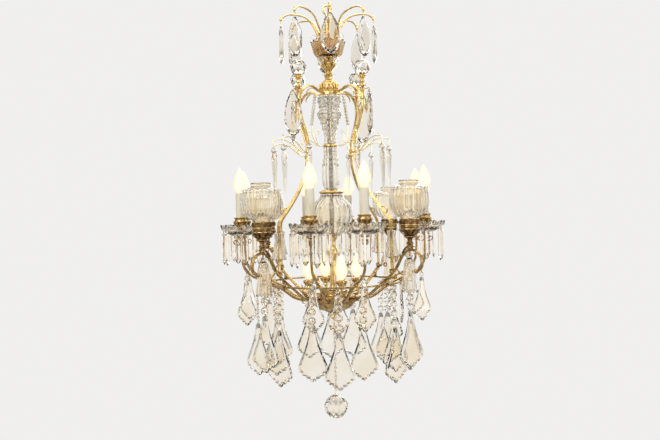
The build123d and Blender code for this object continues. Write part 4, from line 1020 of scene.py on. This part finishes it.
# ---------------------------------------------------------------- crystals
PEAR = [(0.10, 0), (0.22, 0.03), (0.34, 0.09), (0.58, 0.18), (0.80, 0.30), (0.94, 0.44), (1.0, 0.60),
        (0.97, 0.72), (0.86, 0.82), (0.66, 0.91), (0.40, 0.97), (0.14, 1.0)]
PLAQUE = [(0.12, 0), (0.22, 0.04), (0.28, 0.15), (0.36, 0.29), (0.52, 0.43), (0.76, 0.56), (0.95, 0.66),
        (1.0, 0.73), (0.93, 0.785), (0.76, 0.805), (0.74, 0.85), (0.52, 0.865), (0.49, 0.91), (0.27, 0.925),
        (0.22, 0.965), (0, 1)]
BIG_PLAQUE = [(0.10, 0), (0.18, 0.04), (0.24, 0.16), (0.38, 0.31), (0.60, 0.47), (0.84, 0.62), (0.97, 0.71),
        (1.0, 0.77), (0.96, 0.815), (0.77, 0.835), (0.74, 0.88), (0.49, 0.893), (0.45, 0.93), (0.21, 0.943),
        (0.17, 0.98), (0, 1)]


def link(top, bottom, wide=1.7):
    """Oval wire link between two heights, standing across the crystals."""
    half = (top - bottom) / 2
    ring = torus(half - LINK_WIRE, LINK_WIRE, 14, 5)
    squeeze = Matrix.Diagonal((wide / half, 1, 1, 1)) @ QUARTER_X
    return moved(ring, lifted((top + bottom) / 2) @ squeeze)


def octagon_bead(size):
    """Round-cut bead, flat to the front, with a crown of eight facets on each face."""
    flat = 0.86 * size / 2 / cos(pi / 8)
    thick = OCTAGON_THICK * size / OCTAGON / 2
    levels = [(0.42 * flat, thick, 8, 0), (flat, 0.2 * thick, 8, 22.5),
              (flat, -0.2 * thick, 8, 22.5), (0.42 * flat, -thick, 8, 0)]
    return moved(cut(levels), lifted(-size / 2) @ QUARTER_Y)


def bead_string(count, size, start=0.0):
    """Beads and the links over and between them."""
    beads = copies(octagon_bead(size), [lifted(start - i * size) for i in range(count)])
    gap = 0.07 * size
    wires = copies(link(gap + 1.6, -gap - 1.6), [lifted(start - i * size) for i in range(count + 1)])
    return beads, wires


def pear(width, length, hump=0.0):
    """Pear-shaped plate with a double bevel."""
    return plate(PEAR, width, length, DROP_THICK, [(0.86, 0.91, 0.55), (0.72, 0.80, 1.0)], hump)


def plaque(shares, width, length, thick):
    """Kite-shaped plate with a double bevel and a stepped lower edge."""
    return plate(shares, width, length, thick, [(0.87, 0.92, 0.5), (0.77, 0.845, 1.0)])


def prism():
    """Long prism with a ridge on each face and a pointed end."""
    t, tip = PRISM_THICK / 2, -PRISM_LENGTH
    levels = [(0.72 * t, -1, 6, 0), (t, -5, 6, 0), (t, 0.86 * tip, 6, 0), (0.15 * t, tip, 6, 0)]
    return cut(levels, PRISM_WIDTH / PRISM_THICK * 1.12)


def faceted_ball(radius, steps, rows):
    """Ball cut all over in flat facets."""
    tilts = [pi * (row + 0.5) / (rows + 1) for row in range(rows + 1)]
    return cut([(radius * sin(tilt), radius * cos(tilt), steps, 180 / steps * (row % 2))
                for row, tilt in enumerate(tilts)])


def swinging(name, glass_part, wire_part, place, body):
    """A hanging crystal and its wires on their own body, in place of the body's solid."""
    piece(name, moved(glass_part, place), CRYSTAL, body, body)
    piece(name + "_wires", moved(wire_part, place), WIRE_GILT, body=body)


def fixed(name, node, glass_part, wire_part, places):
    """Crystals and wires that hang in fixed places on the frame, in place of a node."""
    piece(name, copies(glass_part, places), CRYSTAL, node)
    piece(name + "_wires", copies(wire_part, places), WIRE_GILT)


def string_with(count, size, end, start=0.0):
    """String of beads that ends in a larger crystal, with its wires."""
    beads, wires = bead_string(count, size, start)
    return together(beads, moved(end, lifted(start - count * size))), wires


def big_plaque():
    """Plaque of the long drops, the globe arms and the inner strings."""
    return plaque(BIG_PLAQUE, BIG_WIDTH, BIG_LENGTH, BIG_THICK)


def small_plaque():
    """Plaque under the candles and at the sides."""
    return plaque(PLAQUE, PLAQUE_WIDTH, PLAQUE_LENGTH, PLAQUE_THICK)


def hinge_link():
    """Loop of a swinging crystal round the pin of its eye."""
    return link(1.4, -LOOP_DROP - 1.6, 2.2)


def great_ball():
    """Faceted ball with its brass cap and loop, the loop turned a quarter to the string's eye."""
    glass_part = moved(faceted_ball(BALL_R, 10, 7), lifted(-LOOP_DROP - BALL_R))
    cap = turned([(0, 1.6), (3.0, 1.2), (6.0, -0.6), (8.0, -1.8), (0, -3.0)], 20, 2)
    loop = moved(link(1.4, -LOOP_DROP + 0.2, 2.4), QUARTER_Z)
    return glass_part, together(loop, moved(cap, lifted(-LOOP_DROP)))


def garland_places():
    """Place of each small bead down one garland."""
    return [beside(GARLAND_TOP_R + GARLAND_FLARE * i, GARLAND_TOP_Z - 0.4 - BEAD / 2 - i * BEAD_PITCH)
            for i in range(GARLAND_BEADS)]


def icicle():
    """Long tapered drop with eight flat sides below its faceted bead."""
    w = ICICLE_WIDTH / 2
    spear = cut([(0.4 * w, 0, 8, 22.5), (0.98 * w, -13, 8, 22.5), (0.9 * w, -22, 8, 22.5),
                 (0.16 * w, -ICICLE_LENGTH, 8, 22.5)])
    return together(moved(faceted_ball(ICICLE_BEAD / 2 + 0.3, 8, 4), lifted(-ICICLE_BEAD / 2)),
                    moved(spear, lifted(-ICICLE_BEAD)))


for n, place in enumerate(around(CROWN_ARMS, 0, CROWN_REACH, CROWN_PIN_Z), 1):
    drop = moved(pear(DROP_WIDTH, DROP_LENGTH), lifted(-LOOP_DROP))
    swinging(f"crown_pear_{n}", drop, hinge_link(), place, f"crown_drop_{n}")
for n, (place, turn) in enumerate(zip(around(LONG_DROPS, 0, OUTER_HOOK_R, LONG_PIN_Z), LONG_TURNS), 1):
    beads, wires = string_with(LONG_BEADS, OCTAGON, moved(big_plaque(), about(turn)), -LOOP_DROP)
    swinging(f"long_string_{n}", beads, together(wires, hinge_link()), place, f"long_drop_{n}")

beads, wires = bead_string(BALL_BEADS, BALL_BEAD, -LOOP_DROP)
wires = together(wires, hinge_link(), eye(2.7, 0.95, BALL_LOWER_PIN_Z - BALL_PIN_Z + 2.7, turn=QUARTER_X))
swinging("middle_string", beads, wires, lifted(BALL_PIN_Z), "ball_string")
swinging("great_ball", *great_ball(), lifted(BALL_LOWER_PIN_Z), "bottom_ball")

fixed("dish_prisms", "prisms", *string_with(1, BUTTON, prism()),
      [candle @ spot for candle in at_candles() for spot in around(PRISMS, 120, PRISM_R, DISH_RIM_Z)])
fixed("plaques_under_candles", "candle_plaques", *string_with(1, SMALL_OCTAGON, small_plaque()),
      [at(angle, CANDLE_HOOK_R, CANDLE_HOOK_Z, turn) for angle, turn in zip(CANDLES, CANDLE_PLAQUE_TURNS)])
fixed("plaques_under_globes", "globe_plaques", *string_with(2, OCTAGON, big_plaque()),
      hooks(45, FLUTED_AT, GLOBE_HOOK_Z, GLOBE_PLAQUE_TURNS))
fixed("side_plaques_cut", "side_plaques", small_plaque(), link(2.6, -2.4, 2.0), around(4, 0, HOOP_R, HOOP_HOOK_Z))
fixed("inner_strings", "inner_drops", *string_with(LONG_BEADS, OCTAGON, big_plaque()),
      hooks(22.5, INNER_HOOK_R, HOOP_HOOK_Z, INNER_TURNS))
fixed("shoulder_pears", "shoulder_drops", pear(SHOULDER_WIDTH, SHOULDER_LENGTH, 1.0), link(2.4, -2.4, 2.0),
      on_ribs(SHOULDER_HOOK_R, SHOULDER_HOOK_Z, SHOULDER_TURN))
small_bead = cut([(0.25 * BEAD, BEAD / 2, 6, 0), (0.61 * BEAD, BEAD / 7, 6, 0), (0.61 * BEAD, -BEAD / 7, 6, 30),
                  (0.25 * BEAD, -BEAD / 2, 6, 30)])
thread = rod([(GARLAND_TOP_R, GARLAND_TOP_Z + 1), (45.4, 306), (50.8, 265)], 0.5, 1, 8)
spacers = copies(ball(1.5, 5, 8), [place @ lifted(BEAD_PITCH / 2) for place in garland_places()])
fixed("bead_garlands", "bead_chains", copies(small_bead, garland_places()), together(thread, spacers), around(4, 0))
fixed("icicles_cut", "icicles", icicle(), link(2.2, -1.6, 1.8),
      [place @ beside(WIRE_LINE[-1][0], WIRE_Z + WIRE_LINE[-1][1]) for place in at_wires()])
fixed("shoulder_balls", "finial_balls", moved(faceted_ball(FINIAL_BALL_R, 8, 5), lifted(FINIAL_BALL_R)),
      moved(turned([(0, 1.5), (4, 1.2), (7.5, 2.4), (9.6, 4.4), (0, 2.0)], 20, 2), lifted(-0.6)),
      on_ribs(FINIAL_R, FINIAL_Z + FINIAL_H))

piece("fluted_upper_column", column_upper(), CLEAR, "column_upper")
piece("fluted_lower_column", column_lower(), CLEAR, "column_lower")
piece("cut_vase", centre_vase(), CLEAR, "centre_vase")
piece("amber_dish", crown_cup(), AMBER, "crown_cup")
piece("fluted_globes", globe_shades(), CLEAR, "globe_shades")
piece("rib_bells", fluted_bells(), CLEAR, "fluted_bells")
piece("reeded_tulips", fluted_drops(), CLEAR, "fluted_drops")
piece("petal_dishes", bobeches(), DISH, "bobeches")


# ---------------------------------------------------------------- lights
def sleeves():
    """Moulded candle sleeves with a rounded, slightly melted top."""
    r, bore, top = SLEEVE_R, SLEEVE_R - SLEEVE_WALL, SLEEVE_TOP
    body = turned([(bore, SLEEVE_LOW), (r, SLEEVE_LOW, 2), (r, 40), (r, top - 6), (r + 0.1, top - 1.5),
            (r - 0.5, top), (bore, top - 0.6), (bore, top - 4), (bore, SLEEVE_LOW)], 40)
    return copies(body, at_candles())


def flame(base):
    """Flame-shaped lamp glass above its cap."""
    shares = [(0.06, 0), (0.40, 0), (0.46, 0.03), (0.74, 0.12), (0.97, 0.24), (1.0, 0.36), (0.93, 0.50),
            (0.74, 0.66), (0.48, 0.81), (0.25, 0.92), (0.12, 0.985), (0.03, 1.0)]
    return turned([(r * BULB_R, base + z * BULB_H) for r, z in shares])


def lamp_cap(base, length):
    """Metal cap up to the foot of the lamp's glass, with a ridge at every pitch."""
    r, bottom, top, pitch = LAMP_CAP_R, base - length, base + 0.4, 1.8
    profile = [(0.3, bottom), (0.7 * r, bottom), (0.96 * r, bottom + 1)]
    for k in range(int((top - bottom - 2) / pitch)):
        z = bottom + 1.5 + k * pitch
        profile += [(0.99 * r, z), (0.9 * r, z + pitch / 2)]
    return turned(profile + [(0.95 * r, top), (0.3, top)], 24, 2)


piece("candle_sleeves_moulded", sleeves(), IVORY, "candle_sleeves")
piece("candle_flames", copies(flame(CANDLE_LAMP_Z), at_candles()), LAMP, "candle_bulbs")
piece("candle_lamp_caps", copies(lamp_cap(CANDLE_LAMP_Z, 24), at_candles()), GILT)
piece("inner_flames", copies(flame(INNER_LAMP_Z), at_inner_lights()), LAMP, "inner_bulbs")
piece("inner_lamp_caps", copies(lamp_cap(INNER_LAMP_Z, 14), at_inner_lights()), GILT)
keep("lampholders", MOULDED)
